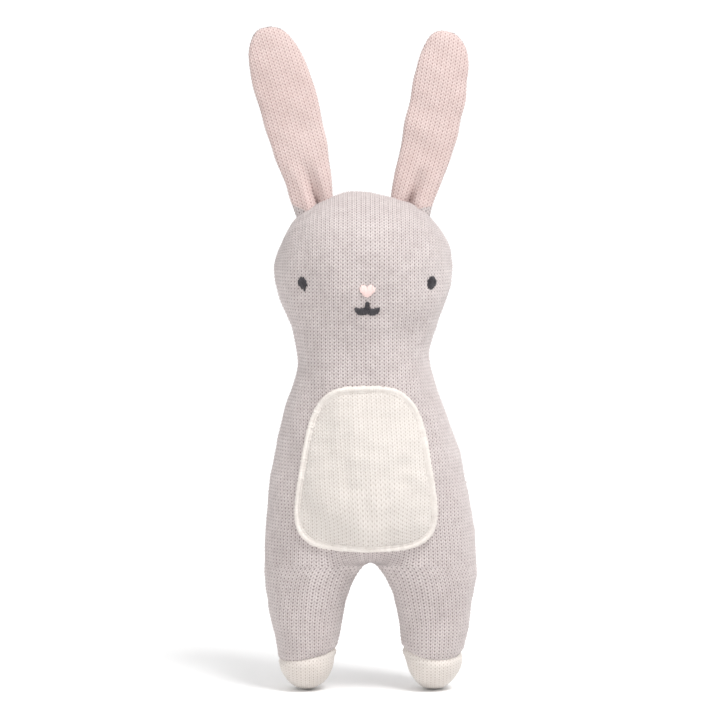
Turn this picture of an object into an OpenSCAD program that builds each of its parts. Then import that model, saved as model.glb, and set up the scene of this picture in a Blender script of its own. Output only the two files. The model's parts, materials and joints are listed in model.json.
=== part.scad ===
// Stuffed knitted rabbit. Millimetres, +Z up, the toy faces -Y.
// The origin is on the floor, midway between the feet. Left and right are the toy's own:
// its left side is +X.

/* [Heights above the floor] */
// Top edge of the cream foot
foot_h = 18; // [12:1:26]
// Widest part of the hips
hip_z = 66; // [60:1:80]
// Middle of the belly
belly_z = 111; // [100:1:125]
// Shoulders
shoulder_z = 139; // [130:1:150]
// Narrowest part of the neck, which is also where the head nods
neck_z = 167; // [158:1:180]
// Widest part of the head
head_z = 211; // [200:1:230]
// Top of the head
crown_z = 248.5; // [240:0.5:275]

/* [Body widths] */
// Width of the hips
hip_w = 105; // [84:0.5:126]
// Width of the belly
belly_w = 94.5; // [76:0.5:113]
// Width of the shoulders
shoulder_w = 79.5; // [64:0.5:95]
// Width of the neck
neck_w = 63.5; // [50:0.5:76]
// Width of the head
head_w = 88.5; // [70:0.5:106]

/* [Body depths] */
// Depth of the hips, front to back
hip_d = 63; // [58:0.5:76]
// Depth of the belly
belly_d = 66; // [54:0.5:79]
// Depth of the shoulders
shoulder_d = 60; // [48:0.5:72]
// Depth of the neck
neck_d = 53; // [42:0.5:64]
// Depth of the head
head_d = 70; // [56:0.5:84]

/* [Legs and feet] */
// Middle of each leg, out from the middle of the toy
leg_x = 32; // [28:0.5:38]
// Width of the thigh just under the body
thigh_w = 42; // [34:0.5:48]
// Width of the shin
shin_w = 34; // [27:0.5:40]
// Width of the leg at the top edge of the foot
ankle_w = 29; // [23:0.5:35]
// Depth of the foot, front to back
foot_d = 32; // [26:0.5:38]
// Width of the flat sole that the toy stands on
sole_w = 17; // [13:0.5:20]
// Depth of the flat sole
sole_d = 24; // [19:0.5:28]

/* [Left ear] */
// Where the left ear is sewn in, out from the middle of the toy
left_ear_x = 21.5; // [18:0.5:28]
// How far the left ear leans outwards, in degrees
left_ear_lean = 12; // [0:1:20]
// Length of the left ear above the head
left_ear_l = 87; // [70:1:105]
// Greatest width of the left ear
left_ear_w = 27; // [22:0.5:32]
// Width of its gathered root, as a share of the greatest width
left_ear_root = 0.74; // [0.5:0.01:0.8]
// Sideways bow of its middle
left_ear_bow = 2.5; // [-4:0.5:4]

/* [Right ear] */
// Where the right ear is sewn in, out from the middle of the toy
right_ear_x = 26; // [18:0.5:30]
// How far the right ear leans outwards, in degrees
right_ear_lean = 13; // [0:1:20]
// Length of the right ear above the head
right_ear_l = 93; // [75:1:112]
// Greatest width of the right ear
right_ear_w = 29; // [24:0.5:36]
// Width of its gathered root, as a share of the greatest width
right_ear_root = 0.62; // [0.5:0.01:0.8]
// Sideways bow of its middle
right_ear_bow = 0; // [-4:0.5:4]

/* [Both ears] */
// Thickness of an ear at its middle
ear_t = 7; // [5.5:0.5:9]
// Least height of the flop line above the head seam
ear_rise = 5; // [4:0.5:8]
// Room between the head's outline and the flop line
root_room = 2; // [1.5:0.1:3]
// Place of the fold, as a share of the ear's length
ear_fold = 0.5; // [0.4:0.01:0.6]

/* [Belly patch] */
// Height of the middle of the patch
patch_z = 113; // [105:0.2:115]
// Height of the patch, with its edging
patch_h = 80.4; // [66:0.2:84]
// Width of the patch at its middle, with its edging
patch_w = 66; // [54:0.5:74]
// How much wider the patch gets towards its bottom, as a share
patch_taper = 0.2; // [0:0.01:0.3]
// Width of the satin-stitched edging
edging_w = 3; // [2:0.1:4]
// Height of the edging above the knit
edging_t = 1.6; // [1.2:0.1:2.4]

/* [Face] */
// Distance between the middles of the eyes
eye_gap = 62.5; // [50:0.5:72]
// Height of the eyes
eye_z = 205; // [196:0.5:215]
// Width of an eye
eye_w = 4.2; // [3:0.1:6]
// Height of an eye
eye_h = 7; // [5:0.1:9]
// Height of the middle of the nose
nose_z = 201.5; // [195:0.5:205]
// Width of the heart-shaped nose
nose_w = 8.4; // [6:0.1:12]
// Height of the nose
nose_h = 7.4; // [6:0.1:10]
// Width of the mouth
mouth_w = 13; // [10:0.5:16]
// Width of a mouth stroke
stroke_w = 2.5; // [1.8:0.1:3.2]

/* [Materials and making] */
// Thickness of the knitted fabric
knit_t = 1.2; // [0.9:0.1:1.6]
// Gap between the knit and the filling inside it
fill_gap = 0.3; // [0.2:0.05:0.6]
// Height of the embroidery above the knit
stitch_t = 1; // [0.6:0.1:1.6]
// Thickness of a sewing thread
thread_d = 0.8; // [0.5:0.1:1.2]
// Number of rungs in the hand-sewn closing seam
closing_rungs = 9; // [5:1:12]

/* [How far it bends] */
// How far the head nods each way, in degrees
nod = 20; // [5:1:25]
// How far an ear flops each way, in degrees
ear_flop = 80; // [20:1:85]
// How far the tip of an ear folds each way, in degrees
tip_fold = 85; // [20:1:88]

/* [Hidden] */
// Colours
grey_yarn = [0.76, 0.72, 0.71];
pink_yarn = [0.89, 0.80, 0.78];
cream_yarn = [0.94, 0.92, 0.89];
charcoal_thread = [0.22, 0.21, 0.23];
rose_thread = [0.95, 0.87, 0.86];
white_fibre = [0.97, 0.97, 0.96];

// How finely the soft shapes are faceted: points round a full section, and rows up a piece
round_n = 24;
leg_round_n = 18;
body_rows = 12;
leg_rows = 8;
foot_rows = 6;
ear_rows = 7;
ear_cols = 8;
patch_rows = 12;
patch_cols = 10;
edging_steps = 40;

fit = 0.15;              // air between a sewn-on piece and the knit under it
joint_gap = 0.4;         // air between two pieces that move past each other
spare = 0.5;             // degrees of room past each stop
section_n = 2.1;         // roundness of the body's cross-section: 2 is an ellipse
patch_n = 3.5;           // squareness of the patch's outline
ear_tip_n = 2.3;         // bluntness of an ear's tip
ear_widest = 0.6;        // where an ear is widest, as a share of its length
crotch_z = hip_z - 2;    // where the legs part
hem_slope = 0.45;        // how steeply the body's lower edge rises towards the hips
ball_clear = 4;          // least room between a leg's round top and the knit over it
ball_r = min(hip_w / 4 - joint_gap / 2, hip_d / 2 - knit_t - ball_clear);   // each leg's round top
ball_x = ball_r + joint_gap / 2;
ball_z = hip_z - 4;      // the line about which the legs swing

// ---- Curves through a few heights -------------------------------------------------

// Slope of column c at row i of a table whose first column is the height. It is level at
// each narrowest and widest place, so that the curve never overshoots its rows.
function step_slope(rows, i, c) = (rows[i + 1][c] - rows[i][c]) / (rows[i + 1][0] - rows[i][0]);
function knot_slope(rows, i, c) =
    i == 0 || i == len(rows) - 1 ? 0 :
    let (below = step_slope(rows, i - 1, c), above = step_slope(rows, i, c))
    below * above <= 0 ? 0 : 2 * below * above / (below + above);

// The row that height z falls in
function row_at(rows, z, i = 0) = i >= len(rows) - 2 || z < rows[i + 1][0] ? i : row_at(rows, z, i + 1);

// Value of column c at height z, on a smooth curve through every row
function curve(rows, z, c) =
    let (
        i = row_at(rows, z),
        span = rows[i + 1][0] - rows[i][0],
        t = min(1, max(0, (z - rows[i][0]) / span)),
        a = rows[i][c], b = rows[i + 1][c]
    )
    a * (1 + 2 * t) * (1 - t) * (1 - t) + b * t * t * (3 - 2 * t)
    + span * (knot_slope(rows, i, c) * t * (1 - t) * (1 - t) - knot_slope(rows, i + 1, c) * t * t * (1 - t));

function mix(a, b, t) = a + (b - a) * t;
function power(x, p) = sign(x) * pow(abs(x), p);
function unit(v) = v / norm(v);

// ---- The body's surface -----------------------------------------------------------

// Height, half width and half depth
body_table = [
    [hip_z, hip_w / 2, hip_d / 2],
    [belly_z, belly_w / 2, belly_d / 2],
    [shoulder_z, shoulder_w / 2, shoulder_d / 2],
    [neck_z, neck_w / 2, neck_d / 2],
    [head_z, head_w / 2, head_d / 2]
];
crown_h = crown_z - head_z;

// Half width (c = 1) or half depth (c = 2) at height z, inset by that much inside the knit
function half_size(z, c, inset = 0) =
    z <= head_z ? curve(body_table, z, c) - inset
    : (curve(body_table, head_z, c) - inset) * sqrt(max(0, 1 - pow((z - head_z) / (crown_h - inset), 2)));

// A point of the body at height z, at an angle from +X
function body_point(z, angle, inset = 0) = [
    half_size(z, 1, inset) * power(cos(angle), 2 / section_n),
    half_size(z, 2, inset) * power(sin(angle), 2 / section_n),
    z
];

// The front of the body over the place x, z, raised out of the surface by rise
function front_y(x, z) =
    -half_size(z, 2) * pow(max(0, 1 - pow(abs(x) / half_size(z, 1), section_n)), 1 / section_n);
function on_front(x, z, rise = 0) =
    let (
        step = 0.2,
        across = (front_y(x + step, z) - front_y(x - step, z)) / (2 * step),
        up = (front_y(x, z + step) - front_y(x, z - step)) / (2 * step)
    )
    [x, front_y(x, z), z] + rise * unit([across, -1, up]);

// ---- Solids made of rows of points -------------------------------------------------

// Faces that join row a to row b, of n points each. The rows start at those indices.
function strip(a, b, n, closed) = [
    for (i = [0 : n - (closed ? 1 : 2)])
        let (j = (i + 1) % n)
        each [[a + i, b + i, b + j], [a + i, b + j, a + j]]
];
function flip(faces) = [for (f = faces) [f[2], f[1], f[0]]];

// A closed solid through rings of points, with a fan to a middle point over each end
module loft(rings, low_middle, high_middle) {
    n = len(rings[0]);
    last = (len(rings) - 1) * n;
    points = concat([for (r = rings) each r], [low_middle, high_middle]);
    low = len(points) - 2;
    high = len(points) - 1;
    sides = [for (k = [0 : len(rings) - 2]) each strip(k * n, (k + 1) * n, n, true)];
    ends = [for (i = [0 : n - 1]) let (j = (i + 1) % n)
        each [[low, i, j], [high, last + j, last + i]]];
    polyhedron(points, concat(sides, ends), convexity = 4);
}

// A sheet with a thickness: outer and inner are grids of rows with the same number of
// points. A capped sheet is closed over its last row, at the top of the head or a sole.
module sheet(outer, inner, capped = false) {
    n = len(outer[0]);
    rows = len(outer);
    size = n * rows;
    last = (rows - 1) * n;
    points = concat([for (r = outer) each r], [for (r = inner) each r]);
    skins = [for (k = [0 : rows - 2]) each concat(
        strip(k * n, (k + 1) * n, n, false),
        flip(strip(size + k * n, size + (k + 1) * n, n, false)),
        [[k * n, size + k * n, size + (k + 1) * n], [k * n, size + (k + 1) * n, (k + 1) * n]],
        [[(k + 1) * n - 1, (k + 2) * n - 1, size + (k + 2) * n - 1],
         [(k + 1) * n - 1, size + (k + 2) * n - 1, size + (k + 1) * n - 1]]
    )];
    low = flip(strip(0, size, n, false));
    high = capped
        ? concat(
            [for (i = [1 : n - 2]) [last, last + i + 1, last + i]],
            [for (i = [1 : n - 2]) [size + last, size + last + i, size + last + i + 1]],
            [[last, size + last, size + last + n - 1], [last, size + last + n - 1, last + n - 1]])
        : strip(last, size + last, n, false);
    polyhedron(points, flip(concat(skins, low, high)), convexity = 6);
}

// ---- Torso and head ------------------------------------------------------------------

// The angles of a panel: the front runs from one side seam to the other, and so does the back
function panel_angles(front, n) = [for (i = [0 : n / 2]) (front ? 180 : 0) + i * 360 / n];
function ring_angles(n) = [for (i = [0 : n - 1]) i * 360 / n];

// The body's lower edge rises from the crotch towards each hip
function hem_at(angle) = crotch_z + 2 + hem_slope * abs(body_point(hip_z + 10, angle)[0]);

// At the neck each side is bevelled away from the nodding line, half of the nod each
function neck_bevel(angle) = joint_gap + abs(body_point(neck_z, angle)[1]) * tan(nod / 2 + spare);

function torso_rows(angles, inset) = [
    for (k = [0 : body_rows])
        [for (a = angles) body_point(mix(hem_at(a), neck_z - neck_bevel(a), k / body_rows), a, inset)]
];

// The head's rows run up the neck, and then by equal turns over the crown
head_low_rows = body_rows / 2;
crown_stop = 84;
function head_rows(angles, inset) = concat(
    [for (k = [0 : head_low_rows])
        [for (a = angles) body_point(mix(neck_z + neck_bevel(a), head_z, k / head_low_rows), a, inset)]],
    [for (k = [1 : head_low_rows])
        [for (a = angles)
            body_point(head_z + (crown_h - inset) * sin(crown_stop * k / head_low_rows), a, inset)]]
);

module body_panel(front, head) {
    angles = panel_angles(front, round_n);
    color(grey_yarn)
        if (head) sheet(head_rows(angles, 0), head_rows(angles, knit_t), capped = true);
        else sheet(torso_rows(angles, 0), torso_rows(angles, knit_t));
}

// The filling is hollowed out over each leg's round top
module torso_filling() {
    inset = knit_t + fill_gap;
    color(white_fibre)
        difference() {
            loft(torso_rows(ring_angles(round_n), inset),
                [0, 0, crotch_z + 2], [0, 0, neck_z - joint_gap]);
            for (side = [-1, 1])
                translate([side * ball_x, 0, ball_z])
                    sphere(r = ball_r + joint_gap, $fn = 64);
        }
}

module head_filling() {
    inset = knit_t + fill_gap;
    rows = head_rows(ring_angles(round_n), inset);
    color(white_fibre)
        loft(rows, [0, 0, neck_z + joint_gap],
            [0, 0, head_z + (crown_h - inset) * sin(crown_stop)]);
}

// ---- Legs and feet ---------------------------------------------------------------------

// Height, middle, half width and half depth of the leg under its round top
leg_table = [
    [0, leg_x - 1, sole_w / 2, sole_d / 2],
    [foot_h * 0.28, leg_x - 0.5, ankle_w / 2 - 1.8, foot_d / 2 - 1],
    [foot_h, leg_x, ankle_w / 2, foot_d / 2],
    [foot_h + 13, leg_x, shin_w / 2, shin_w / 2 + 0.5],
    [ball_z - 7, leg_x - 1.5, thigh_w / 2 + 0.3, thigh_w / 2 + 0.5],
    [ball_z, ball_x, ball_r, ball_r]
];
function leg_point(z, angle, inset) = [
    curve(leg_table, z, 1) + (curve(leg_table, z, 2) - inset) * cos(angle),
    (curve(leg_table, z, 3) - inset) * sin(angle),
    z
];
function ball_point(turn, angle, inset) = [
    ball_x + (ball_r - inset) * cos(turn) * cos(angle),
    (ball_r - inset) * cos(turn) * sin(angle),
    ball_z + (ball_r - inset) * sin(turn)
];
ball_rows = 5;
ball_stop = 84;
cuff_gap = 0.1;          // between the cream foot and the grey leg

function leg_sheet(angles, inset) = concat(
    [for (k = [0 : leg_rows])
        [for (a = angles) leg_point(mix(foot_h + cuff_gap, ball_z, k / leg_rows), a, inset)]],
    [for (k = [1 : ball_rows])
        [for (a = angles) ball_point(ball_stop * k / ball_rows, a, inset)]]
);
// A foot's rows run down from its top edge, by equal turns towards the sole
function foot_sheet(angles, inset) = [
    for (k = [0 : foot_rows])
        let (z = foot_h * cos(90 * k / foot_rows))
        [for (a = angles) leg_point(z, a, inset) + [0, 0, inset * (1 - z / foot_h)]]
];

module leg_panel(side, front) {
    angles = panel_angles(front, leg_round_n);
    color(grey_yarn) sided(side)
        sheet(leg_sheet(angles, 0), leg_sheet(angles, knit_t), capped = true);
}
module foot_panel(side, front) {
    angles = panel_angles(front, leg_round_n);
    color(cream_yarn) sided(side)
        sheet_down(foot_sheet(angles, 0), foot_sheet(angles, knit_t));
}
// A sheet whose rows run downwards has its points in the other order
function backwards(list) = [for (i = [len(list) - 1 : -1 : 0]) list[i]];
module sheet_down(outer, inner) {
    sheet([for (r = outer) backwards(r)], [for (r = inner) backwards(r)], capped = true);
}
module leg_filling(side) {
    inset = knit_t + fill_gap;
    angles = ring_angles(leg_round_n);
    low = [for (k = [foot_rows : -1 : 1]) let (z = foot_h * cos(90 * k / foot_rows))
        [for (a = angles) leg_point(z, a, inset) + [0, 0, inset * (1 - z / foot_h)]]];
    rows = concat(low, leg_sheet(angles, inset));
    color(white_fibre) sided(side)
        loft(rows, [leg_x - 1, 0, inset], [ball_x, 0, ball_z + ball_r - inset]);
}

// Shapes are drawn for the left side, and the right side is their mirror image
module sided(side) {
    if (side > 0) children();
    else mirror([1, 0, 0]) children();
}

// ---- Ears ------------------------------------------------------------------------------

// Out from the middle, lean, length, greatest width, root share and bow
left_ear = [left_ear_x, left_ear_lean, left_ear_l, left_ear_w, left_ear_root, left_ear_bow];
right_ear = [right_ear_x, right_ear_lean, right_ear_l, right_ear_w, right_ear_root, right_ear_bow];

// Height of the head's outline at x, and at the ear's root
function outline_z(x) = head_z + crown_h * sqrt(max(0, 1 - pow(x / (head_w / 2), 2)));
function seam_z(ear) = outline_z(ear[0]);

// The head's outline in the ear's own frame, across and up, at a share of the root's width
root_steps = 6;
function root_point(ear, share) =
    let (dx = ear_half(ear, 0) * share * cos(ear[1]), dz = outline_z(ear[0] + dx) - seam_z(ear))
    [dx * cos(ear[1]) - dz * sin(ear[1]), dx * sin(ear[1]) + dz * cos(ear[1])];
function root_line(ear) = [for (i = [0 : root_steps]) root_point(ear, 1 - 2 * i / root_steps)];

// Height of the flop line over the seam: it clears the head's outline all along the root
function flop_rise(ear) = max(ear_rise, root_room + max([for (p = root_line(ear)) p[1]]));

// Half width at share t of the ear's length
function ear_half(ear, t) = ear[3] / 2 * (
    t < ear_widest ? 1 - (1 - ear[4]) * pow((ear_widest - t) / ear_widest, 2)
    : pow(max(0, 1 - pow((t - ear_widest) / (1 - ear_widest), ear_tip_n)), 1 / ear_tip_n)
);

// A layer of the ear at share t of the length and c across, from -1 to 1. Half is that
// layer's distance from the middle of the ear, and rim is the same at its edge. Its ends
// are bevelled by the tangent cut, so that it clears its neighbour at the stops.
function ear_point(ear, t, c, half, rim, shrink = 0) =
    let (
        wide = ear_half(ear, t) - shrink,
        thin = sqrt(ear_half(ear, t) / (ear[3] / 2)),
        deep = rim + (half - rim) * thin * sqrt(1 - c * c)
    )
    [wide * c + ear[5] * 4 * t * (1 - t), deep, ear[2] * t];

// Rows of an ear's layer between two shares of its length, each end bevelled where it
// meets another piece
function ear_grid(ear, from, to, bevel_from, bevel_to, half, rim, shrink, cols) = [
    for (k = [0 : ear_rows])
        [for (i = [0 : cols])
            let (
                c = -cos(180 * i / cols),
                mid = ear_point(ear, mix(from, to, k / ear_rows), c, half, rim, shrink),
                low = from + (joint_gap + mid[1] * bevel_from) / ear[2],
                high = to - (joint_gap + mid[1] * bevel_to) / ear[2]
            )
            ear_point(ear, mix(low, high, k / ear_rows), c, half, rim, shrink)]
];

// Shares of the ear's length at which its two halves start and end, and their bevels
function hinge_share(ear) = flop_rise(ear) / ear[2];
tip_share = 0.988;       // the tip's last ring, as a share of the ear's length
fold_bevel = tan(tip_fold / 2 + spare);
root_bevel = tan(ear_flop / 2 + spare);
function half_span(ear, tip) = tip
    ? [ear_fold, tip_share, fold_bevel, 0]
    : [hinge_share(ear), ear_fold, root_bevel, fold_bevel];

rim_t = 0.6;             // half thickness of the sewn rim
rim_inside = 0.15;       // the same, inside the knit
wadding_shrink = 1.8;    // the wadding stops this far inside the rim

// Puts an ear, drawn from its root upwards, on its place in the head's top seam
module placed(ear, side) {
    sided(side)
        translate([ear[0], 0, seam_z(ear)])
            rotate([0, ear[1], 0])
                children();
}

module ear_panel(ear, side, tip, front) {
    s = half_span(ear, tip);
    outer = ear_grid(ear, s[0], s[1], s[2], s[3], ear_t / 2, rim_t, 0, ear_cols);
    inner = ear_grid(ear, s[0], s[1], s[2], s[3], ear_t / 2 - knit_t, rim_inside, 0, ear_cols);
    color(front ? pink_yarn : grey_yarn)
        placed(ear, side)
            mirror([0, front ? 1 : 0, 0])
                sheet(outer, inner);
}

module ear_wadding(ear, side, tip) {
    s = half_span(ear, tip);
    half = ear_t / 2 - knit_t - fill_gap;
    back = ear_grid(ear, s[0], s[1], s[2], s[3], half, rim_inside, wadding_shrink, ear_cols);
    function mirrored(point) = [point[0], -point[1], point[2]];
    rings = [for (row = back) concat(row, [for (i = [ear_cols - 1 : -1 : 1]) mirrored(row[i])])];
    color(white_fibre)
        placed(ear, side)
            loft(rings, [rings[0][0][0] / 2 + rings[0][ear_cols][0] / 2, 0, rings[0][0][2]],
                [rings[ear_rows][0][0] / 2 + rings[ear_rows][ear_cols][0] / 2, 0, rings[ear_rows][0][2]]);
}

// The gathered root, sewn into the head's top seam: its foot lies along the head, and its
// top is a ridge just under the flop line
module ear_root(ear, side) {
    w = ear_half(ear, 0);
    t = ear_t / 2;
    top = flop_rise(ear) - joint_gap;
    foot = [for (p = root_line(ear)) p + [0, fit]];
    color(pink_yarn)
        placed(ear, side)
            difference() {
                rotate([90, 0, 0])
                    translate([0, 0, -t / 2])
                        linear_extrude(t)
                            polygon(concat([[-w, top], [w, top]], foot));
                for (s = [-1, 1])
                    translate([0, 0, top])
                        rotate([s * (90 - ear_flop / 2 + 5), 0, 0])
                            translate([-w - 1, s > 0 ? -t * 2 : 0, 0])
                                cube([2 * w + 2, t * 2, t * 2]);
            }
}

// ---- Belly patch -------------------------------------------------------------------------

// Half width of the patch at v, from -1 at its bottom to 1 at its top, inset by that much
function patch_half(v, inset) =
    (patch_w / 2 - inset) * (1 - patch_taper * v) * pow(max(0, 1 - pow(abs(v), patch_n)), 1 / patch_n);

module belly_patch() {
    inset = edging_w + fit;
    half_h = patch_h / 2 - inset;
    function grid(rise) = [
        for (k = [0 : patch_rows])
            let (v = -cos(180 * (k + 0.35) / (patch_rows + 0.7)))
            [for (i = [0 : patch_cols])
                on_front(patch_half(v, inset) * -cos(180 * i / patch_cols), patch_z + half_h * v, rise)]
    ];
    color(cream_yarn) sheet(grid(fit + knit_t), grid(fit));
}

// The satin-stitched cord that holds the patch's edge down
module patch_edging() {
    inset = edging_w / 2;
    half_h = patch_h / 2 - inset;
    function outline(turn) =
        let (v = power(sin(turn), 2 / patch_n))
        [(patch_w / 2 - inset) * (1 - patch_taper * v) * power(cos(turn), 2 / patch_n), patch_z + half_h * v];
    function section(turn) =
        let (
            at = outline(turn),
            ahead = outline(turn + 3), behind = outline(turn - 3),
            base = on_front(at[0], at[1]),
            out = on_front(at[0], at[1], 1) - base,
            along = unit(on_front(ahead[0], ahead[1]) - on_front(behind[0], behind[1])),
            aside = cross(along, out)
        )
        [for (a = [0 : 60 : 300])
            base + out * (fit + edging_t / 2 * (1 + sin(a))) + aside * (edging_w / 2 - 0.1) * cos(a)];
    rings = [for (k = [0 : edging_steps - 1]) section(360 * (k + 0.5) / edging_steps)];
    n = 6;
    faces = [for (k = [0 : edging_steps - 1]) each strip(k * n, ((k + 1) % edging_steps) * n, n, true)];
    color(cream_yarn) polyhedron([for (r = rings) each r], faces, convexity = 6);
}

// ---- Face --------------------------------------------------------------------------------

// A pad of satin stitch over the knit: the outline is a list of [x, z] about its middle
module stitch_pad(middle, outline, thread) {
    function ring(share, rise) = [
        for (p = outline) on_front(middle[0] + share * p[0], middle[1] + share * p[1], rise)
    ];
    rings = [ring(1, fit), ring(1, fit + stitch_t * 0.5), ring(0.6, fit + stitch_t)];
    color(thread)
        loft(rings, on_front(middle[0], middle[1], fit),
            on_front(middle[0], middle[1], fit + stitch_t * 1.1));
}

module eye(side) {
    outline = [for (a = [0 : 30 : 330]) [eye_w / 2 * cos(a), eye_h / 2 * sin(a)]];
    stitch_pad([side * eye_gap / 2, eye_z], outline, charcoal_thread);
}

module nose() {
    function heart(a) = [
        nose_w / 2 * pow(abs(sin(a)), 3) * sign(sin(a)),
        nose_h / 30 * (13 * cos(a) - 5 * cos(2 * a) - 2 * cos(3 * a) - cos(4 * a) + 2.5)
    ];
    stitch_pad([0, nose_z], [for (i = [0 : 17]) heart(-20 * i - 10)], rose_thread);
}

// A stroke of satin stitch along a line of [x, z] points
module stroke(line) {
    function section(i) =
        let (
            at = line[i],
            ahead = line[min(i + 1, len(line) - 1)], behind = line[max(i - 1, 0)],
            base = on_front(at[0], at[1]),
            out = on_front(at[0], at[1], 1) - base,
            along = unit(on_front(ahead[0], ahead[1]) - on_front(behind[0], behind[1])),
            aside = cross(along, out)
        )
        [for (a = [0 : 60 : 300])
            base + out * (fit + stitch_t / 2 * (1 + sin(a))) + aside * stroke_w / 2 * cos(a)];
    rings = [for (i = [0 : len(line) - 1]) section(i)];
    first = on_front(line[0][0], line[0][1], fit + stitch_t / 2);
    last = on_front(line[len(line) - 1][0], line[len(line) - 1][1], fit + stitch_t / 2);
    color(charcoal_thread) loft(rings, first, last);
}

module mouth() {
    top = nose_z - nose_h / 2 - 1;
    bend = top - 4.6;
    reach = mouth_w / 2 - 0.6;
    stroke([for (i = [0 : 2]) [0, mix(top, bend + stroke_w / 2 + 0.9, i / 2)]]);
    for (side = [-1, 1])
        stroke([for (i = [0 : 5])
            let (t = i / 5)
            [side * mix(0.8, reach, t), bend - 1.5 * sin(140 * t) + 0.9 * t]]);
}

// ---- Closing seam -----------------------------------------------------------------------

// The hand-sewn rungs that close the opening in the left side seam, where the filling went in
module closing_stitches() {
    low = shoulder_z - 40;
    high = shoulder_z - 4;
    color(grey_yarn)
        for (k = [0 : closing_rungs - 1]) {
            z = mix(low, high, k / (closing_rungs - 1));
            translate([half_size(z, 1) + thread_d / 2 + fit, 0, z])
                rotate([90, 0, 0])
                    cylinder(d = thread_d, h = 2.4, center = true, $fn = 24);
        }
}

body_panel(front = true, head = false);  // torso_front_knit
body_panel(front = false, head = false);  // torso_back_knit
torso_filling();
belly_patch();
patch_edging();
closing_stitches();
body_panel(front = true, head = true);  // head_front_knit
body_panel(front = false, head = true);  // head_back_knit
head_filling();
eye(1);  // left_eye
eye(-1);  // right_eye
nose();
mouth();
ear_root(left_ear, 1);  // left_ear_root
ear_panel(left_ear, 1, tip = false, front = true);  // left_ear_front
ear_panel(left_ear, 1, tip = false, front = false);  // left_ear_back
ear_wadding(left_ear, 1, tip = false);  // left_ear_wadding
ear_panel(left_ear, 1, tip = true, front = true);  // left_ear_tip_front
ear_panel(left_ear, 1, tip = true, front = false);  // left_ear_tip_back
ear_wadding(left_ear, 1, tip = true);  // left_ear_tip_wadding
ear_root(right_ear, -1);  // right_ear_root
ear_panel(right_ear, -1, tip = false, front = true);  // right_ear_front
ear_panel(right_ear, -1, tip = false, front = false);  // right_ear_back
ear_wadding(right_ear, -1, tip = false);  // right_ear_wadding
ear_panel(right_ear, -1, tip = true, front = true);  // right_ear_tip_front
ear_panel(right_ear, -1, tip = true, front = false);  // right_ear_tip_back
ear_wadding(right_ear, -1, tip = true);  // right_ear_tip_wadding
leg_panel(1, front = true);  // left_leg_front_knit
leg_panel(1, front = false);  // left_leg_back_knit
leg_filling(1);  // left_leg_filling
foot_panel(1, front = true);  // left_foot_front_knit
foot_panel(1, front = false);  // left_foot_back_knit
leg_panel(-1, front = true);  // right_leg_front_knit
leg_panel(-1, front = false);  // right_leg_back_knit
leg_filling(-1);  // right_leg_filling
foot_panel(-1, front = true);  // right_foot_front_knit
foot_panel(-1, front = false);  // right_foot_back_knit
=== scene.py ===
# %% [markdown]
# # A knitted toy rabbit
#
# The real toy is sewn from machine-knitted fabric and stuffed with loose fibre. Knit has two
# scales that both matter: the big, soft volumes that the stuffing pushes out, and the small
# V-shaped stitches that cover them. A smooth mesh with knit only painted on it looks flat up
# close, so every panel here is a real grid of stitches: four columns and three rows of points
# to each stitch, laid over the stuffed shape and pushed in and out to make the V's.
#
# The working model of the toy comes from the frame. Its bodies, joints and sizes are fixed, and
# the knit is drawn over it.

import json
import math

import bpy
import numpy as np
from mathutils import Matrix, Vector, kdtree
from mathutils.bvhtree import BVHTree


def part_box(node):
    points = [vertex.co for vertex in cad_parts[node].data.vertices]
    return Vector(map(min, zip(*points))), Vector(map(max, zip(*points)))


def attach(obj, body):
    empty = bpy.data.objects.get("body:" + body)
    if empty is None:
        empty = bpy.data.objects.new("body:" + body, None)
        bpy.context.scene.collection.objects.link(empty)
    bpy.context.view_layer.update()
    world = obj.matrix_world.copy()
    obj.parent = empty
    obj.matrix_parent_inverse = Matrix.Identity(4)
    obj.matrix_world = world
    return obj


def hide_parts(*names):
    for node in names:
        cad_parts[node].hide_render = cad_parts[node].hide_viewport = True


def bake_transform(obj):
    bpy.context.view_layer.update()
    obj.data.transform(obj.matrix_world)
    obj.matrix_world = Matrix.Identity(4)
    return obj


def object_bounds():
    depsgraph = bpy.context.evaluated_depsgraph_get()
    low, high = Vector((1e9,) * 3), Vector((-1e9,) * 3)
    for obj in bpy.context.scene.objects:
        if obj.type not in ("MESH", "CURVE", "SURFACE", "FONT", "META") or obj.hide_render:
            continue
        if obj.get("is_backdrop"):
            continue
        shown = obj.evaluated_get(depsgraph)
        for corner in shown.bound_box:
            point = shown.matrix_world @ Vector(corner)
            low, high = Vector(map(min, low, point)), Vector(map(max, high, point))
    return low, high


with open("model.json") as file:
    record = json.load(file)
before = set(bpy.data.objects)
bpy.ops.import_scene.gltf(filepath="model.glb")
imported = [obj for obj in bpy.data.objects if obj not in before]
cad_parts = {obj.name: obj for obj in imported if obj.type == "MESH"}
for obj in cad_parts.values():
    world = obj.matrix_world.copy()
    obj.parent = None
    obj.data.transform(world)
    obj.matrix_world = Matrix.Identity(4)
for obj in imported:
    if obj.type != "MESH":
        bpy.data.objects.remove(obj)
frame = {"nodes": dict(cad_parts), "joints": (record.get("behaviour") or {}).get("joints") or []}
CAD_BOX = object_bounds()
JOINTS = {joint["name"]: joint for joint in frame["joints"]}
MM = 0.001

# %% [markdown]
# ## Smooth curves through a few heights
#
# A stuffed body is described by its half width and half depth at a few heights. Straight lines
# between them would leave creases, and a plain cubic can overshoot, so this is the monotone
# cubic: it bends between its points and never past them.

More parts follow.
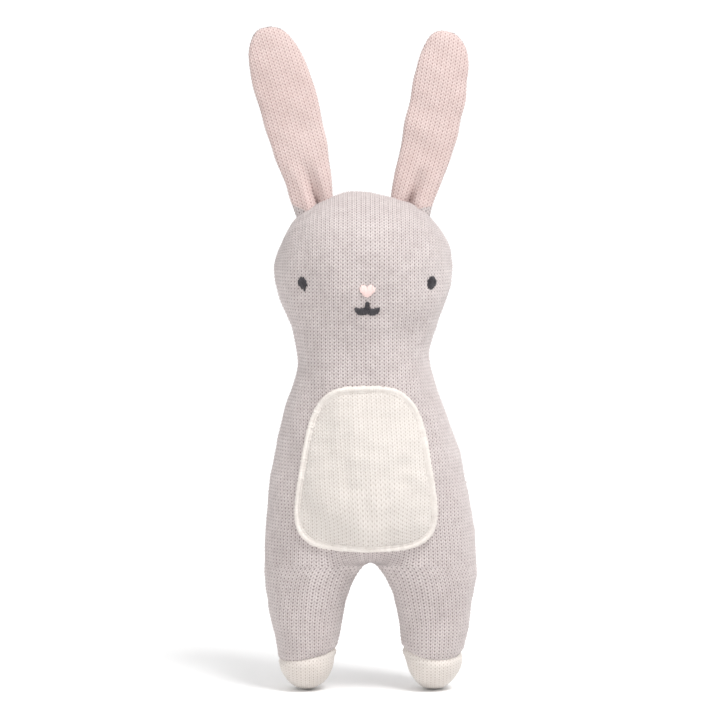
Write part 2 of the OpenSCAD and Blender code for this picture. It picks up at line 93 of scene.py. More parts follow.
# %% A smooth curve
def smooth_curve(xs, ys):
    """Returns a function that runs smoothly through the points and never overshoots them."""
    xs, ys = np.asarray(xs, float), np.asarray(ys, float)
    steps = np.diff(ys) / np.diff(xs)
    slopes = np.zeros_like(ys)
    together = steps[:-1] * steps[1:] > 0
    slopes[1:-1][together] = (2 * steps[:-1] * steps[1:])[together] / (steps[:-1] + steps[1:])[together]

    def curve(x):
        x = np.clip(x, xs[0], xs[-1])
        i = np.clip(np.searchsorted(xs, x) - 1, 0, len(xs) - 2)
        span = xs[i + 1] - xs[i]
        t = (x - xs[i]) / span
        return (
            ys[i] * (1 + 2 * t) * (1 - t) ** 2 + ys[i + 1] * t * t * (3 - 2 * t)
            + span * (slopes[i] * t * (1 - t) ** 2 - slopes[i + 1] * t * t * (1 - t))
        )

    return curve


def softened(curve, low, high, reach, level_at_top=False):
    """The curve with its small steps smoothed away over that reach."""
    x = np.linspace(low, high, 800)
    step = x[1] - x[0]
    count = int(3 * reach / step)
    weights = np.exp(-0.5 * (np.arange(-count, count + 1) * step / reach) ** 2)
    values = curve(x)
    if level_at_top:
        longer = np.concatenate([values, values[-2:-count - 2:-1]])
        longer = np.pad(longer, (count, 0), mode="reflect", reflect_type="odd")
    else:
        longer = np.pad(values, count, mode="reflect", reflect_type="odd")
    smooth = np.convolve(longer, weights / weights.sum(), "valid")
    return lambda at: np.interp(at, x, smooth)


def smooth_step(low, high, x):
    t = np.clip((x - low) / (high - low), 0, 1)
    return t * t * (3 - 2 * t)


print("half way up a smooth step", smooth_step(0, 1, 0.5))

# %% [markdown]
# ## The stuffed shape, read from the frame
#
# The frame's knit nodes are plain shells. Their points on the side seams give the outline, and
# those down the middle give the depth, so the knit follows the frame if its sizes change.

# %% Outline and depth
def node_points(name):
    data = frame["nodes"][name].data
    co = np.empty(len(data.vertices) * 3)
    data.vertices.foreach_get("co", co)
    return co.reshape(-1, 3)


def widest_at_each_height(points, column, low=-1.0, high=1.0):
    """Heights, and the greatest size in that column at each height."""
    heights = np.round(points[:, 2], 5)
    rows = [z for z in np.unique(heights) if low <= z <= high]
    return rows, [np.abs(points[heights == z, column]).max() for z in rows]


torso = node_points("torso_front_knit")
head = node_points("head_front_knit")
leg = node_points("left_leg_front_knit")
HEAD_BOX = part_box("head_front_knit")
FOOT_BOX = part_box("left_foot_front_knit")
HIP_Z = JOINTS["left_leg_swing"]["pos_m"][2]
NECK_Z = JOINTS["head_nod"]["pos_m"][2]
CUFF_Z = FOOT_BOX[1].z
FOOT_X = (FOOT_BOX[0].x + FOOT_BOX[1].x) / 2

near = 0.05 * MM
SEAM_DIP = 0.75 * MM        # depth of the valley along a seam
HEAD_Z = head[np.abs(head[:, 0]).argmax(), 2]
CROWN_H = HEAD_BOX[1].z - HEAD_Z + 0.7 * MM
CROTCH_LIFT = 1.6 * MM
CROTCH_Z = torso[:, 2].min() - CROTCH_LIFT

side_points = [
    widest_at_each_height(leg[np.abs(leg[:, 1]) < near], 0, CUFF_Z, HIP_Z),
    widest_at_each_height(torso[np.abs(torso[:, 1]) < near], 0),
    widest_at_each_height(head[np.abs(head[:, 1]) < near], 0, high=HEAD_Z),
]
side_curve = smooth_curve(sum((p[0] for p in side_points), []), sum((p[1] for p in side_points), []))
outline = softened(side_curve, CUFF_Z, HEAD_Z, 5 * MM, level_at_top=True)
front_points = [
    widest_at_each_height(torso[np.abs(torso[:, 0]) < near], 1),
    widest_at_each_height(head[np.abs(head[:, 0]) < near], 1, high=HEAD_Z),
]
front_curve = smooth_curve(sum((p[0] for p in front_points), []), sum((p[1] for p in front_points), []))
front = softened(front_curve, front_points[0][0][0], HEAD_Z, 6 * MM, level_at_top=True)
leg_curve = smooth_curve(*widest_at_each_height(leg, 1, CUFF_Z, HIP_Z))
leg_front = softened(leg_curve, CUFF_Z, HIP_Z, 8 * MM, level_at_top=True)


def side(z):
    """Half width at height z. The seam's valley takes a little off it again."""
    return outline(z) + 0.9 * SEAM_DIP


print(f"head {side(HEAD_Z) * 2000:.1f} mm wide, neck {side(NECK_Z) * 2000:.1f} mm")
print(f"crotch at {CROTCH_Z * 1000:.1f} mm")

# %% [markdown]
# ## Rows of knit over the stuffed shape
#
# A knitted panel has two directions. Wales run up the fabric and courses run across it. The
# front panel of this toy is one flat piece, from the feet to the crown, with a round notch
# between the legs. Each course is worked out as a line in space from the middle of the toy, or
# from the inside of a leg, to the side seam. Its length along the cloth, u, tells which wale a
# point belongs to.
#
# Three places need care. At the crown the courses can't be level rings, because rings would
# crowd together: on the real panel they run straight across and end at the seam, so here each
# is cut by a tilted plane. Over the crotch the cloth is stretched, so fewer wales cover more
# ground. And under a foot the courses close in the same way as at the crown.

# %% One course of the panel
SAMPLES = 241
CROTCH_BLEND = 22 * MM      # height over which the crotch's point becomes the belly's middle
HIP_BLEND = 34 * MM         # height over which the legs' two rounds become one belly
TENSION_Z = CROTCH_Z + 45 * MM   # the crotch pulls the courses above it as far up as this
ARCH_POWER = 0.42           # roundness of the arch between the legs
CUFF_BLEND = 15 * MM        # height over which a leg becomes as deep as its foot
STITCH_ROOM = 0.4 * MM      # the raised stitches stand this far out of the cloth's own line
FOOT_SPAN = FOOT_BOX[1] - FOOT_BOX[0]
FOOT_SIZE = np.array([FOOT_SPAN.x / 2, FOOT_SPAN.y, FOOT_SPAN.z]) - [STITCH_ROOM, STITCH_ROOM, 0]


def ankle_inner():
    return FOOT_X - FOOT_SIZE[0] - 0.8 * MM


def leg_inner(z):
    """Distance of a leg's inner seam from the middle, at height z. The arch's top is a little pointed."""
    below = np.clip(CROTCH_Z - z, 0, None)
    pointed = 1 - 0.4 * np.exp(-below / (4 * MM))
    return ankle_inner() * (below / (CROTCH_Z - CUFF_Z)) ** ARCH_POWER * pointed


def leg_outer(z):
    """Distance of its outer seam. The foot is a little narrower than the frame's, so it blends."""
    slimmer = side(CUFF_Z) - (FOOT_X + FOOT_SIZE[0])
    return side(z) - slimmer * (1 - smooth_step(CUFF_Z, CUFF_Z + 20 * MM, z))


def leg_depth(z):
    at_cuff = 1 - smooth_step(CUFF_Z, CUFF_Z + CUFF_BLEND, z)
    return leg_front(z) + (FOOT_SIZE[1] - leg_front(CUFF_Z)) * at_cuff


def belly_share(z, middle=1.0):
    """1 on the belly, and 0 at the crotch, where only the two legs' rounds are left.

    Down the middle the cloth turns under in a round, and on the legs it runs on smoothly."""
    under = 1 - np.clip((CROTCH_Z + CROTCH_BLEND - z) / CROTCH_BLEND, 0, 1) ** 2
    return middle * under + (1 - middle) * smooth_step(CROTCH_Z, CROTCH_Z + HIP_BLEND, z)


def middle_heights():
    """Heights down the middle of the belly to the crotch, and the length of cloth above it."""
    z = CROTCH_Z + (TENSION_Z - CROTCH_Z) * np.linspace(0, 1, 400) ** 2
    y = front(z) * np.sqrt(belly_share(z))
    length = np.concatenate([[0], np.cumsum(np.hypot(np.diff(y), np.diff(z)))])
    return z, length


middle_z, middle_length = middle_heights()


def pulled_height(v):
    """Height of course v at the middle of the toy, where the crotch pulls on it."""
    share = (v - CROTCH_Z) / (TENSION_Z - CROTCH_Z)
    return np.interp(share * middle_length[-1], middle_length, middle_z) if share < 1 else v


def body_course(v):
    across = np.sin(np.linspace(0, math.pi / 2, SAMPLES))
    pull = np.cos(np.clip(across * 2, 0, 1) * math.pi / 2) ** 2
    z = v + pull * (pulled_height(v) - v)
    belly = front(z) * np.sqrt(1 - across ** 2)
    legs = leg_front(HIP_Z) * np.sqrt(4 * across * (1 - across))
    deep = np.sqrt(legs ** 2 + (belly ** 2 - legs ** 2) * belly_share(z, pull))
    return np.stack([side(z) * across, -deep, z], 1)


# %% Courses over the head
def dome_course(share):
    """Half a course over a unit dome, from its middle line to its outline.

    0 is round the dome's rim and 1 is at its top.
    """
    low = np.array([math.sqrt(max(0, 1 - share * share)), 0, share])
    turn = math.pi / 2 * (1 - share)
    rise = np.array([math.sin(turn), math.cos(turn) - share])
    rise /= max(np.hypot(*rise), 1e-9)
    middle = -share * rise[1]
    radius = math.sqrt(low[0] ** 2 + middle ** 2)
    end = math.atan2(low[0], -middle)
    angle = np.linspace(0, end, SAMPLES)
    along = middle + radius * np.cos(angle)
    return np.stack([radius * np.sin(angle), -along * rise[0], share + along * rise[1]], 1)


def quarter_length(a, b):
    t = np.linspace(0, math.pi / 2, 400)
    return np.hypot(np.diff(a * np.sin(t)), np.diff(b * np.cos(t))).sum()


CROWN_LENGTH = quarter_length(front(HEAD_Z), CROWN_H)
SOLE_LENGTH = quarter_length(FOOT_SIZE[1], FOOT_SIZE[2])
TOP_V = HEAD_Z + CROWN_LENGTH
BOTTOM_V = CUFF_Z - SOLE_LENGTH


def head_course(v):
    size = np.array([side(HEAD_Z), front(HEAD_Z), CROWN_H])
    return dome_course((v - HEAD_Z) / CROWN_LENGTH) * size + [0, 0, HEAD_Z]


# %% Courses of a leg
def leg_course(v):
    """A course round the front of the leg on +X, from its inner seam to its outer one."""
    if v >= CUFF_Z:
        inner, outer = leg_inner(v), leg_outer(v)
        t = np.linspace(-math.pi / 2, math.pi / 2, 2 * SAMPLES - 1)
        x = (inner + outer) / 2 + (outer - inner) / 2 * np.sin(t)
        return np.stack([x, -leg_depth(v) * np.cos(t), np.full_like(x, v)], 1)
    half = dome_course((CUFF_Z - v) / SOLE_LENGTH)
    whole = np.concatenate([half[:0:-1] * [-1, 1, 1], half])
    line = whole * FOOT_SIZE * [1, 1, -1] + [FOOT_X, 0, CUFF_Z]
    line[:, 2] = SOLE_Z + np.logaddexp(0, (line[:, 2] - SOLE_Z) / SOLE_SOFTNESS) * SOLE_SOFTNESS
    return line


SOLE_Z = 0.2 * MM           # the sole is pressed flat at this height
SOLE_SOFTNESS = 0.4 * MM


def lengths(line):
    return np.concatenate([[0], np.cumsum(np.linalg.norm(np.diff(line, axis=0), axis=1))])


print(f"ankle {(leg_outer(CUFF_Z) - leg_inner(CUFF_Z)) * 1000:.1f} mm wide")

# %% [markdown]
# Now the same course with the wale of every point. On the belly and the head the cloth isn't
# stretched, so a wale is simply the length from the middle. Below the hips the wale down the
# middle of each leg stays the same all the way, and the cloth inside it stretches as it must.

# %% Which wale each point is on
FREEZE_V = CROTCH_Z + 24 * MM    # below this the leg's middle wale stays the same
ARCH_GAP = 2.4 * MM         # cloth cut away between the legs


def middle_of_half(line):
    """Length of cloth from the middle of the toy to the middle of one half of the belly."""
    return np.interp(line[-1, 0] / 2, line[:, 0], lengths(line))


LEG_WALE = middle_of_half(body_course(FREEZE_V))


def course(v):
    """(points, wales) of the half course v, from the toy's middle or a leg's inner seam outwards."""
    if v >= HEAD_Z:
        line = head_course(v)
        return line, lengths(line)
    if v >= CROTCH_Z:
        line = body_course(v)
        u = lengths(line)
        if v < FREEZE_V:
            half = middle_of_half(line)
            u = np.where(u < half, u * LEG_WALE / half, u + LEG_WALE - half)
        return line, u
    line = leg_course(v)
    u = lengths(line)
    half = u[len(u) // 2]
    inner_edge = ARCH_GAP * (1 - math.exp(-(CROTCH_Z - v) / (9 * MM)))
    if v < CUFF_Z:
        line_at_cuff = leg_course(CUFF_Z)
        cuff_half = lengths(line_at_cuff)[len(line_at_cuff) // 2]
        stretch = (LEG_WALE - inner_edge) / cuff_half
    else:
        stretch = (LEG_WALE - inner_edge) / half
    return line, np.where(u < half, LEG_WALE - (half - u) * stretch, LEG_WALE + u - half)


hip_wales = course(HIP_Z + 20 * MM)[1]
print(f"panel {(TOP_V - BOTTOM_V) * 1000:.0f} mm long, {hip_wales[-1] * 2000:.0f} mm wide at the hips")

# %% [markdown]
# ## The lattice of the front panel
#
# The stitches are 2.25 mm wide and 1.75 mm high. Every quarter of a wale and every third of a
# course becomes a point, on one lattice for the whole panel, so that stitches run on without a
# break from the head into the legs.

# %% Lattice
WALE = 2.25 * MM
COURSE = 1.75 * MM
COLUMNS_PER_WALE = 4
ROWS_PER_COURSE = 3
DU = WALE / COLUMNS_PER_WALE
DV = COURSE / ROWS_PER_COURSE


class Lattice:
    """Points of a panel at every (row, column). It holds only those that lie inside the outline."""

    def __init__(self, rows_v, half_columns, du=DU):
        self.v = np.asarray(rows_v)
        self.u = np.arange(-half_columns, half_columns + 1) * du
        shape = len(self.v), len(self.u)
        self.points = np.full(shape + (3,), np.nan)
        self.inside = np.zeros(shape, bool)
        self.rim = []

    def lay(self, j, line, u, mirrored=False):
        """Lays one course on row j."""
        own = -self.u if mirrored else self.u
        here = (own >= u[0] - 1e-12) & (own <= u[-1])
        flip = -1 if mirrored else 1
        for axis in range(3):
            values = np.interp(own[here], u, line[:, axis])
            self.points[j, here, axis] = values * (flip if axis == 0 else 1)
        self.inside[j] |= here

    def add_rim(self, u, v, point):
        self.rim.append((u, v, *point))


SPARE_ROWS = 6              # rows past each end, drawn onto the seam so that the two panels meet there


def front_lattice():
    rows = np.arange(math.ceil(BOTTOM_V / DV) - SPARE_ROWS, math.floor(TOP_V / DV) + 1 + SPARE_ROWS) * DV
    lattice = Lattice(rows, 130)
    for j, v in enumerate(rows):
        if not BOTTOM_V <= v <= TOP_V:
            continue
        line, u = course(v)
        lattice.lay(j, line, u)
        lattice.lay(j, line, u, mirrored=True)
    fine = np.concatenate([
        TOP_V - (TOP_V - HEAD_Z) * np.linspace(0, 1, 260) ** 2,
        np.arange(HEAD_Z, CROTCH_Z, -0.3 * MM),
        CROTCH_Z - (CROTCH_Z - CUFF_Z) * np.linspace(0, 1, 220) ** 2,
        BOTTOM_V + (CUFF_Z - BOTTOM_V) * np.linspace(1, 0, 160) ** 2,
    ])
    for v in fine:
        v = min(max(v, BOTTOM_V + 1e-6), TOP_V - 1e-6)
        line, u = course(v)
        for sign in (1, -1):
            lattice.add_rim(sign * u[-1], v, line[-1] * [sign, 1, 1])
            if v < CROTCH_Z:
                lattice.add_rim(sign * u[0], v, line[0] * [sign, 1, 1])
    return lattice


LEAN_LEGS = 1.6 * MM        # how far the hips and legs sit off the toy's middle line
LEAN_HEAD = -1.8 * MM       # and the shoulders and head, the other way
LEAN_TURN = (75 * MM, 170 * MM)   # heights between which the body leans from one to the other


def slump(z):
    """Sideways place of the toy's middle at height z: it was filled by hand and leans a little."""
    return LEAN_LEGS + (LEAN_HEAD - LEAN_LEGS) * smooth_step(*LEAN_TURN, z)


FRONT = front_lattice()
FRONT.points[..., 0] += slump(np.nan_to_num(FRONT.points[..., 2]))
FRONT.rim = [(u, v, x + slump(z), y, z) for u, v, x, y, z in FRONT.rim]
print("lattice", FRONT.inside.shape, "stitches about", int(FRONT.inside.sum() / 12))

# %% [markdown]
# ## Faces that follow the V of a stitch
#
# The two legs of a knit stitch climb from the bottom of its V outwards. The faces climb with
# them: each column is shifted by none, one or two rows, so that a face never cuts across a leg.
# The push in and out is then a small table, one value for each place in the stitch.

# %% Faces and normals
SHIFT = np.array([2, 1, 0, 1])   # rows that each column of a wale climbs: its edges and its middle
RELIEF = np.array([              # push of each place in a stitch, in mm: columns down, rows across
    [-0.34, -0.24, -0.28],
    [-0.10, 0.34, 0.24],
    [-0.42, -0.02, -0.10],
    [-0.10, 0.34, 0.24],
])


def stitch_faces(shape, first_column=0):
    """Corners of every face, as (row, column) pairs in flat numbers."""
    rows, columns = shape
    faces = []
    for i in range(columns - 1):
        a, b = SHIFT[(i + first_column) % 4], SHIFT[(i + 1 + first_column) % 4]
        j = np.arange(-2, rows)
        corners = np.stack([j + a, j + b, j + b + 1, j + a + 1], 1)
        fits = ((corners >= 0) & (corners < rows)).all(1)
        corners = corners[fits] * columns + [i, i + 1, i + 1, i]
        faces.append(corners)
    return np.concatenate(faces)


def vertex_normals(points, faces):
    """Mean normal of the faces round each point."""
    across = points[faces[:, 2]] - points[faces[:, 0]]
    up = points[faces[:, 3]] - points[faces[:, 1]]
    face_normals = np.cross(across, up)
    normals = np.zeros_like(points)
    for corner in range(4):
        np.add.at(normals, faces[:, corner], face_normals)
    size = np.linalg.norm(normals, axis=1, keepdims=True)
    return normals / np.maximum(size, 1e-20)


print("faces between 20 by 20 points", len(stitch_faces((20, 20))))

# %% [markdown]
# ## Making a panel
#
# A sewn panel doesn't end at its seam: the cloth turns in, and the seam lies in a small valley.
# So the points just past the outline are laid straight inwards from it, and those just inside
# it dip. The same holds where the grey leg is sewn to the cream foot.

# %% A panel from a lattice
ALLOWANCE = 1.9 * MM        # cloth kept past a seam
# Faces up to this wide close the seam at the top of the gap between the legs. Wider ones would
# stretch across the gap.
WIDEST_FACE = 6 * MM
SEAM_REACH = 1.5 * MM       # how far from the seam the cloth starts to dip


def lumps(points, size, reach, seed):
    """Gentle unevenness of a hand-filled toy: a few long waves through space."""
    rng = np.random.default_rng(seed)
    total = np.zeros(len(points))
    for _ in range(9):
        direction = rng.normal(size=3)
        direction /= np.linalg.norm(direction)
        wave = 2 * math.pi / (reach * rng.uniform(0.7, 1.6))
        total += np.sin(points @ direction * wave + rng.uniform(0, 2 * math.pi))
    return total * size / 3


class Panel:
    """One panel of knit: its points, faces and normals, and its smooth surface without stitches."""

    def __init__(self, lattice, region, rims, stuffing=None, first_column=2, back=False):
        rows, columns = lattice.inside.shape
        grid_v, grid_u = np.meshgrid(lattice.v, lattice.u, indexing="ij")
        self.u, self.v = grid_u.ravel(), grid_v.ravel()
        points = np.nan_to_num(lattice.points.reshape(-1, 3))
        inside = (lattice.inside & region).ravel()
        faces = stitch_faces((rows, columns), first_column)
        normals = vertex_normals(points, faces[lattice.inside.ravel()[faces].all(1)])
        sure = np.flatnonzero(inside & (np.abs(normals).sum(1) > 0.5))
        sure_tree = tree_of(self.u[sure], self.v[sure])
        for k in np.flatnonzero(inside & (np.abs(normals).sum(1) < 0.5)):
            normals[k] = normals[sure[sure_tree.find((self.u[k], self.v[k], 0))[1]]]
        rim_tree = tree_of(rims[:, 0], rims[:, 1])
        rim_normals = np.array([normals[sure[sure_tree.find((u, v, 0))[1]]] for u, v in rims[:, :2]])
        rim_normals[np.abs(rims[:, 3]) < 1e-6, 1] = 0
        rim_normals /= np.linalg.norm(rim_normals, axis=1, keepdims=True)
        distance = np.full(len(points), 1.0)
        for k in numbers_near(inside.reshape(rows, columns)):
            _, number, far = rim_tree.find((self.u[k], self.v[k], 0))
            if inside[k]:
                distance[k] = far
            elif far < ALLOWANCE:
                distance[k] = -far
                points[k] = rims[number, 2:]
                normals[k] = rim_normals[number]
        kept = inside | (distance < 0)
        faces = faces[kept[faces].all(1)]
        edges = points[np.roll(faces, 1, axis=1)] - points[faces]
        self.faces = faces[np.linalg.norm(edges, axis=2).max(1) < WIDEST_FACE]
        outside = np.clip(-distance, 0, None)
        depth = SEAM_DIP * np.exp(-(np.clip(distance, 0, None) / SEAM_REACH) ** 2) + outside
        column = np.arange(rows * columns) % columns + first_column
        row = np.arange(rows * columns) // columns
        self.knit = np.stack([column / 4, row / 3], 1)
        relief = RELIEF[column % 4, (row - SHIFT[column % 4]) % 3] * MM
        relief *= smooth_step(-0.5 * MM, 1.2 * MM, distance)
        if back:
            points, normals = points * [1, -1, 1], normals * [1, -1, 1]
            self.faces = self.faces[:, ::-1]
        if stuffing is not None:
            depth = depth - stuffing(points, self.u, self.v)
        self.cloth = points - normals * depth[:, None]
        self.points = self.cloth + normals * relief[:, None]
        self.normals = vertex_normals(self.points, self.faces)
        self.middle = points[self.faces].mean(1)
        self.tree = BVHTree.FromPolygons(self.cloth.tolist(), self.faces.tolist())


# %% Neighbours on a panel
def numbers_near(grid, steps=5):
    """Numbers of the lattice points inside, and of those a few steps outside."""
    for _ in range(steps):
        grown = grid.copy()
        grown[1:] |= grid[:-1]
        grown[:-1] |= grid[1:]
        grown[:, 1:] |= grid[:, :-1]
        grown[:, :-1] |= grid[:, 1:]
        grid = grown
    return np.flatnonzero(grid)


def tree_of(us, vs):
    """A tree that finds the nearest of these places on a panel."""
    tree = kdtree.KDTree(len(us))
    for number, (u, v) in enumerate(zip(us, vs)):
        tree.insert((u, v, 0), number)
    tree.balance()
    return tree


print(f"faces wider than {WIDEST_FACE * 1000:.0f} mm are left out")

# %% [markdown]
# The foot of each leg panel follows a slanted, slightly curved line: no two were sewn alike.

# %% The line between leg and foot
CUFF_LINES = {              # rise, slant and bow of the cuff in mm, for the leg on +X and the one on -X
    1: (-0.8, -1.3, 2.7),
    -1: (-0.6, -3.0, 0.3),
}
CUFF_HALF = 21 * MM         # half the cloth round the front of a leg


def cuff_v(u):
    """Row at which the grey leg is sewn to the cream foot, over wale u."""
    t = np.clip((np.abs(u) - LEG_WALE) / CUFF_HALF, -1, 1)
    lines = np.where((u > 0)[..., None], CUFF_LINES[1], CUFF_LINES[-1])
    return CUFF_Z + (lines[..., 0] + lines[..., 1] * t + lines[..., 2] * t * t) * MM


def cuff_rim():
    """Samples of the line between leg and foot, on the surface."""
    found = []
    for sign in (1, -1):
        for u in np.arange(0.2 * MM, 60 * MM, 0.25 * MM) * sign:
            v = float(cuff_v(np.array(u)))
            line, wales = course(v)
            if wales[0] <= abs(u) <= wales[-1]:
                point = [np.interp(abs(u), wales, line[:, k]) for k in range(3)]
                found.append((u, v, point[0] * sign + slump(point[2]), point[1], point[2]))
    return found


rim = np.array(FRONT.rim)
cuff = np.array(cuff_rim())
rim_v = rim[:, 1]
above = rim[rim_v > cuff_v(rim[:, 0]) - ALLOWANCE]
below = rim[rim_v < cuff_v(rim[:, 0]) + ALLOWANCE]
GREY_RIM = np.concatenate([above, cuff])
CREAM_RIM = np.concatenate([below, cuff])
grid_v, grid_u = np.meshgrid(FRONT.v, FRONT.u, indexing="ij")
IS_GREY = grid_v > cuff_v(grid_u)
print("rim", len(rim), "cuff", len(cuff))

# %% [markdown]
# ## How the stuffing pushes
#
# The filling is loose fibre, so the cloth isn't perfectly smooth. A few long, gentle waves make
# it uneven. Short upright folds run up from the crotch, where the cloth is pulled, and it dips
# at each eye, where the thread is drawn tight.

# %% Shape of the stuffed cloth
EYES = {"left_eye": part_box("left_eye"), "right_eye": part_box("right_eye")}
EYE_CENTRES = {name: (low + high) / 2 for name, (low, high) in EYES.items()}


def stuffing(points, u, v):
    push = lumps(points, 0.42 * MM, 26 * MM, seed=4)
    push += lumps(points, 0.16 * MM, 9 * MM, seed=5)
    above = np.clip((v - CROTCH_Z) / (24 * MM), 0, 1)
    near_middle = np.exp(-(u / (15 * MM)) ** 2)
    folds = np.cos(u / (4.6 * MM) * 2 * math.pi) * near_middle
    push += 0.35 * MM * folds * above ** 0.5 * (1 - above) ** 1.5 * 2
    over_cuff = v - cuff_v(u)
    push -= 0.3 * MM * np.exp(-(over_cuff / (1.3 * MM)) ** 2)
    if (points[:, 1] < 0).sum() > len(points) / 3:
        for centre in EYE_CENTRES.values():
            off = np.hypot(points[:, 0] - centre.x, points[:, 2] - centre.z)
            push -= 1.0 * MM * np.exp(-(off / (5.5 * MM)) ** 2) * (points[:, 1] < 0)
    return push


body_front = Panel(FRONT, IS_GREY, GREY_RIM, stuffing)
body_back = Panel(FRONT, IS_GREY, GREY_RIM, stuffing, back=True)
feet_front = Panel(FRONT, ~IS_GREY, CREAM_RIM, stuffing)
feet_back = Panel(FRONT, ~IS_GREY, CREAM_RIM, stuffing, back=True)
print("faces in the front panel", len(body_front.faces))

# %% [markdown]
# ## Shader maths as arithmetic
#
# A material is a graph of nodes. Writing every node and link by hand hides the idea, so a small
# class stands for a socket and turns ordinary arithmetic into Math nodes.

# %% A socket that does arithmetic
class Shade:
    """A socket of a material's node tree. Arithmetic on it adds Math nodes."""

    def __init__(self, tree, socket=None):
        self.tree, self.socket = tree, socket

    def node(self, kind, settings=(), inputs=(), output=0):
        """Makes any node: its type, its settings, the values or links of its sockets.

        output is the number of the socket that is wanted from it.
        """
        made = self.tree.nodes.new("ShaderNode" + kind)
        for name, value in dict(settings).items():
            setattr(made, name, value)
        for name, value in dict(inputs).items():
            if isinstance(value, Shade):
                self.tree.links.new(value.socket, made.inputs[name])
            else:
                made.inputs[name].default_value = value
        return Shade(self.tree, made.outputs[output]) if made.outputs else None

    def math(self, operation, a, b=0.0):
        return self.node("Math", {"operation": operation}, {0: a, 1: b})

    def __add__(self, other):
        return self.math("ADD", self, other)

    def __sub__(self, other):
        return self.math("SUBTRACT", self, other)

    def __rsub__(self, other):
        return self.math("SUBTRACT", other, self)

    def __mul__(self, other):
        return self.math("MULTIPLY", self, other)

    def __truediv__(self, other):
        return self.math("DIVIDE", self, other)

    def __pow__(self, other):
        return self.math("POWER", self, other)

    def __abs__(self):
        return self.math("ABSOLUTE", self)

    __radd__, __rmul__ = __add__, __mul__

    def fraction(self):
        return self.math("FRACT", self)

    def clamped(self):
        return self.node("Clamp", inputs={0: self})

    def mix(self, a, b):
        """Colour a where this is 0 and colour b where it is 1."""
        return self.node("Mix", {"data_type": "RGBA"}, {0: self, 6: a, 7: b}, output=2)

    def noise(self, where, scale, detail=2.0):
        return self.node("TexNoise", inputs={"Vector": where, "Scale": scale, "Detail": detail})


# %% Colours and surfaces
def colour(red, green, blue):
    """A colour given as on a screen, 0 to 255, in the linear form that shaders use."""
    parts = [c / 255 for c in (red, green, blue)]
    return tuple([c / 12.92 if c <= 0.04045 else ((c + 0.055) / 1.055) ** 2.4 for c in parts] + [1.0])


def fabric(name, base, roughness, bump=None, bump_depth=0.0, sheen=0.25, specular=0.25):
    """A cloth or thread surface. base and roughness are colours, numbers or functions of a Shade."""
    material = bpy.data.materials.new(name)
    material.use_nodes = True
    tree = material.node_tree
    tree.nodes.clear()
    start = Shade(tree)
    inputs = {"Sheen Weight": sheen, "Sheen Roughness": 0.45, "Specular IOR Level": specular}
    inputs["Base Color"] = base(start)
    inputs["Roughness"] = roughness(start) if callable(roughness) else roughness
    if bump is not None:
        height = bump(start)
        bumps = {"Strength": 1.0, "Distance": bump_depth, "Height": height}
        inputs["Normal"] = start.node("Bump", inputs=bumps)
    surface = start.node("BsdfPrincipled", inputs=inputs)
    start.node("OutputMaterial", inputs={"Surface": surface})
    return material


print("mid grey in linear light", round(colour(128, 128, 128)[0], 3))

# %% [markdown]
# ## Knit
#
# The mesh already has the stitches. The material adds what is too fine for it: painted shade,
# a darker colour in the gaps between the yarns, fibres of several shades spun together, a fine twist
# and a soft halo of loose fibres that catches light at the edges. The panel carries stitch
# coordinates, so the same sums that shaped the V's find the yarn's middle here.

# %% Knit material
def stitch(start):
    """(strength of yarn, place across it, place along it): 1 on the middle of a yarn and 0 in a gap."""
    place = start.node("UVMap", {"uv_map": "knit"})
    wale_place = start.node("SeparateXYZ", inputs={0: place}, output=0)
    course_place = start.node("SeparateXYZ", inputs={0: place}, output=1)
    across = abs(wale_place.fraction() - 0.5) * 2
    along = (course_place - across * (2 / 3) + 40).fraction()
    end = abs(along * 2 - 1) ** 2.2
    middle_gap = (1.25 - across * 2.4).clamped() * (end * 0.85 + 0.15)
    edge_gap = (across * 2.3 - 1.35).clamped() * (end * 0.5 + 0.2)
    return (1 - middle_gap - edge_gap - end * 0.1).clamped(), across, along


def knit(name, light, dark, gap_shade, speck=0.5):
    """Knitted fabric: yarn from dark to light, and a darker colour painted between yarns as shade."""

    def base(start):
        yarn = stitch(start)[0]
        where = start.node("TexCoord", output=3)
        fibre = start.noise(where, 900, 3)
        patchy = start.noise(where, 260, 2)
        broad = start.noise(where, 28, 2)
        heather = (
            (fibre - 0.5) * 1.6 * speck + (patchy - 0.5) * 1.3 * speck + (broad - 0.5) * 0.5 + 0.62
        ).clamped()
        spun = heather.mix(dark, light)
        # Painted shade: the gaps between yarns, and the ends of each stitch a little, take the dark gap
        # colour.
        return (yarn ** 0.9).mix(gap_shade, spun)

    def height(start):
        yarn, across, along = stitch(start)
        where = start.node("TexCoord", output=3)
        twist = start.math("SINE", (along + across * 1.2) * 19.0)
        return start.noise(where, 2600, 4) * 0.9 + twist * yarn * 0.18 + start.noise(where, 1100, 2) * 0.5

    return fabric(name, base, 0.92, height, 0.00022, sheen=0.3)


# The third colour of each knit is painted shade in the gaps between yarns.
GREY_KNIT = knit("grey_knit", colour(229, 220, 218), colour(184, 171, 170), colour(88, 68, 67))
print("knit made of", len(GREY_KNIT.node_tree.nodes), "nodes")


# %% [markdown]
# ## From panels to objects
#
# A panel crosses joints, so it is cut into pieces that share their edge points. Each keeps the
# normals of the whole panel, so the cut can't be seen. A second set of coordinates, without
# overlaps, is for anyone who wants to bake the material.

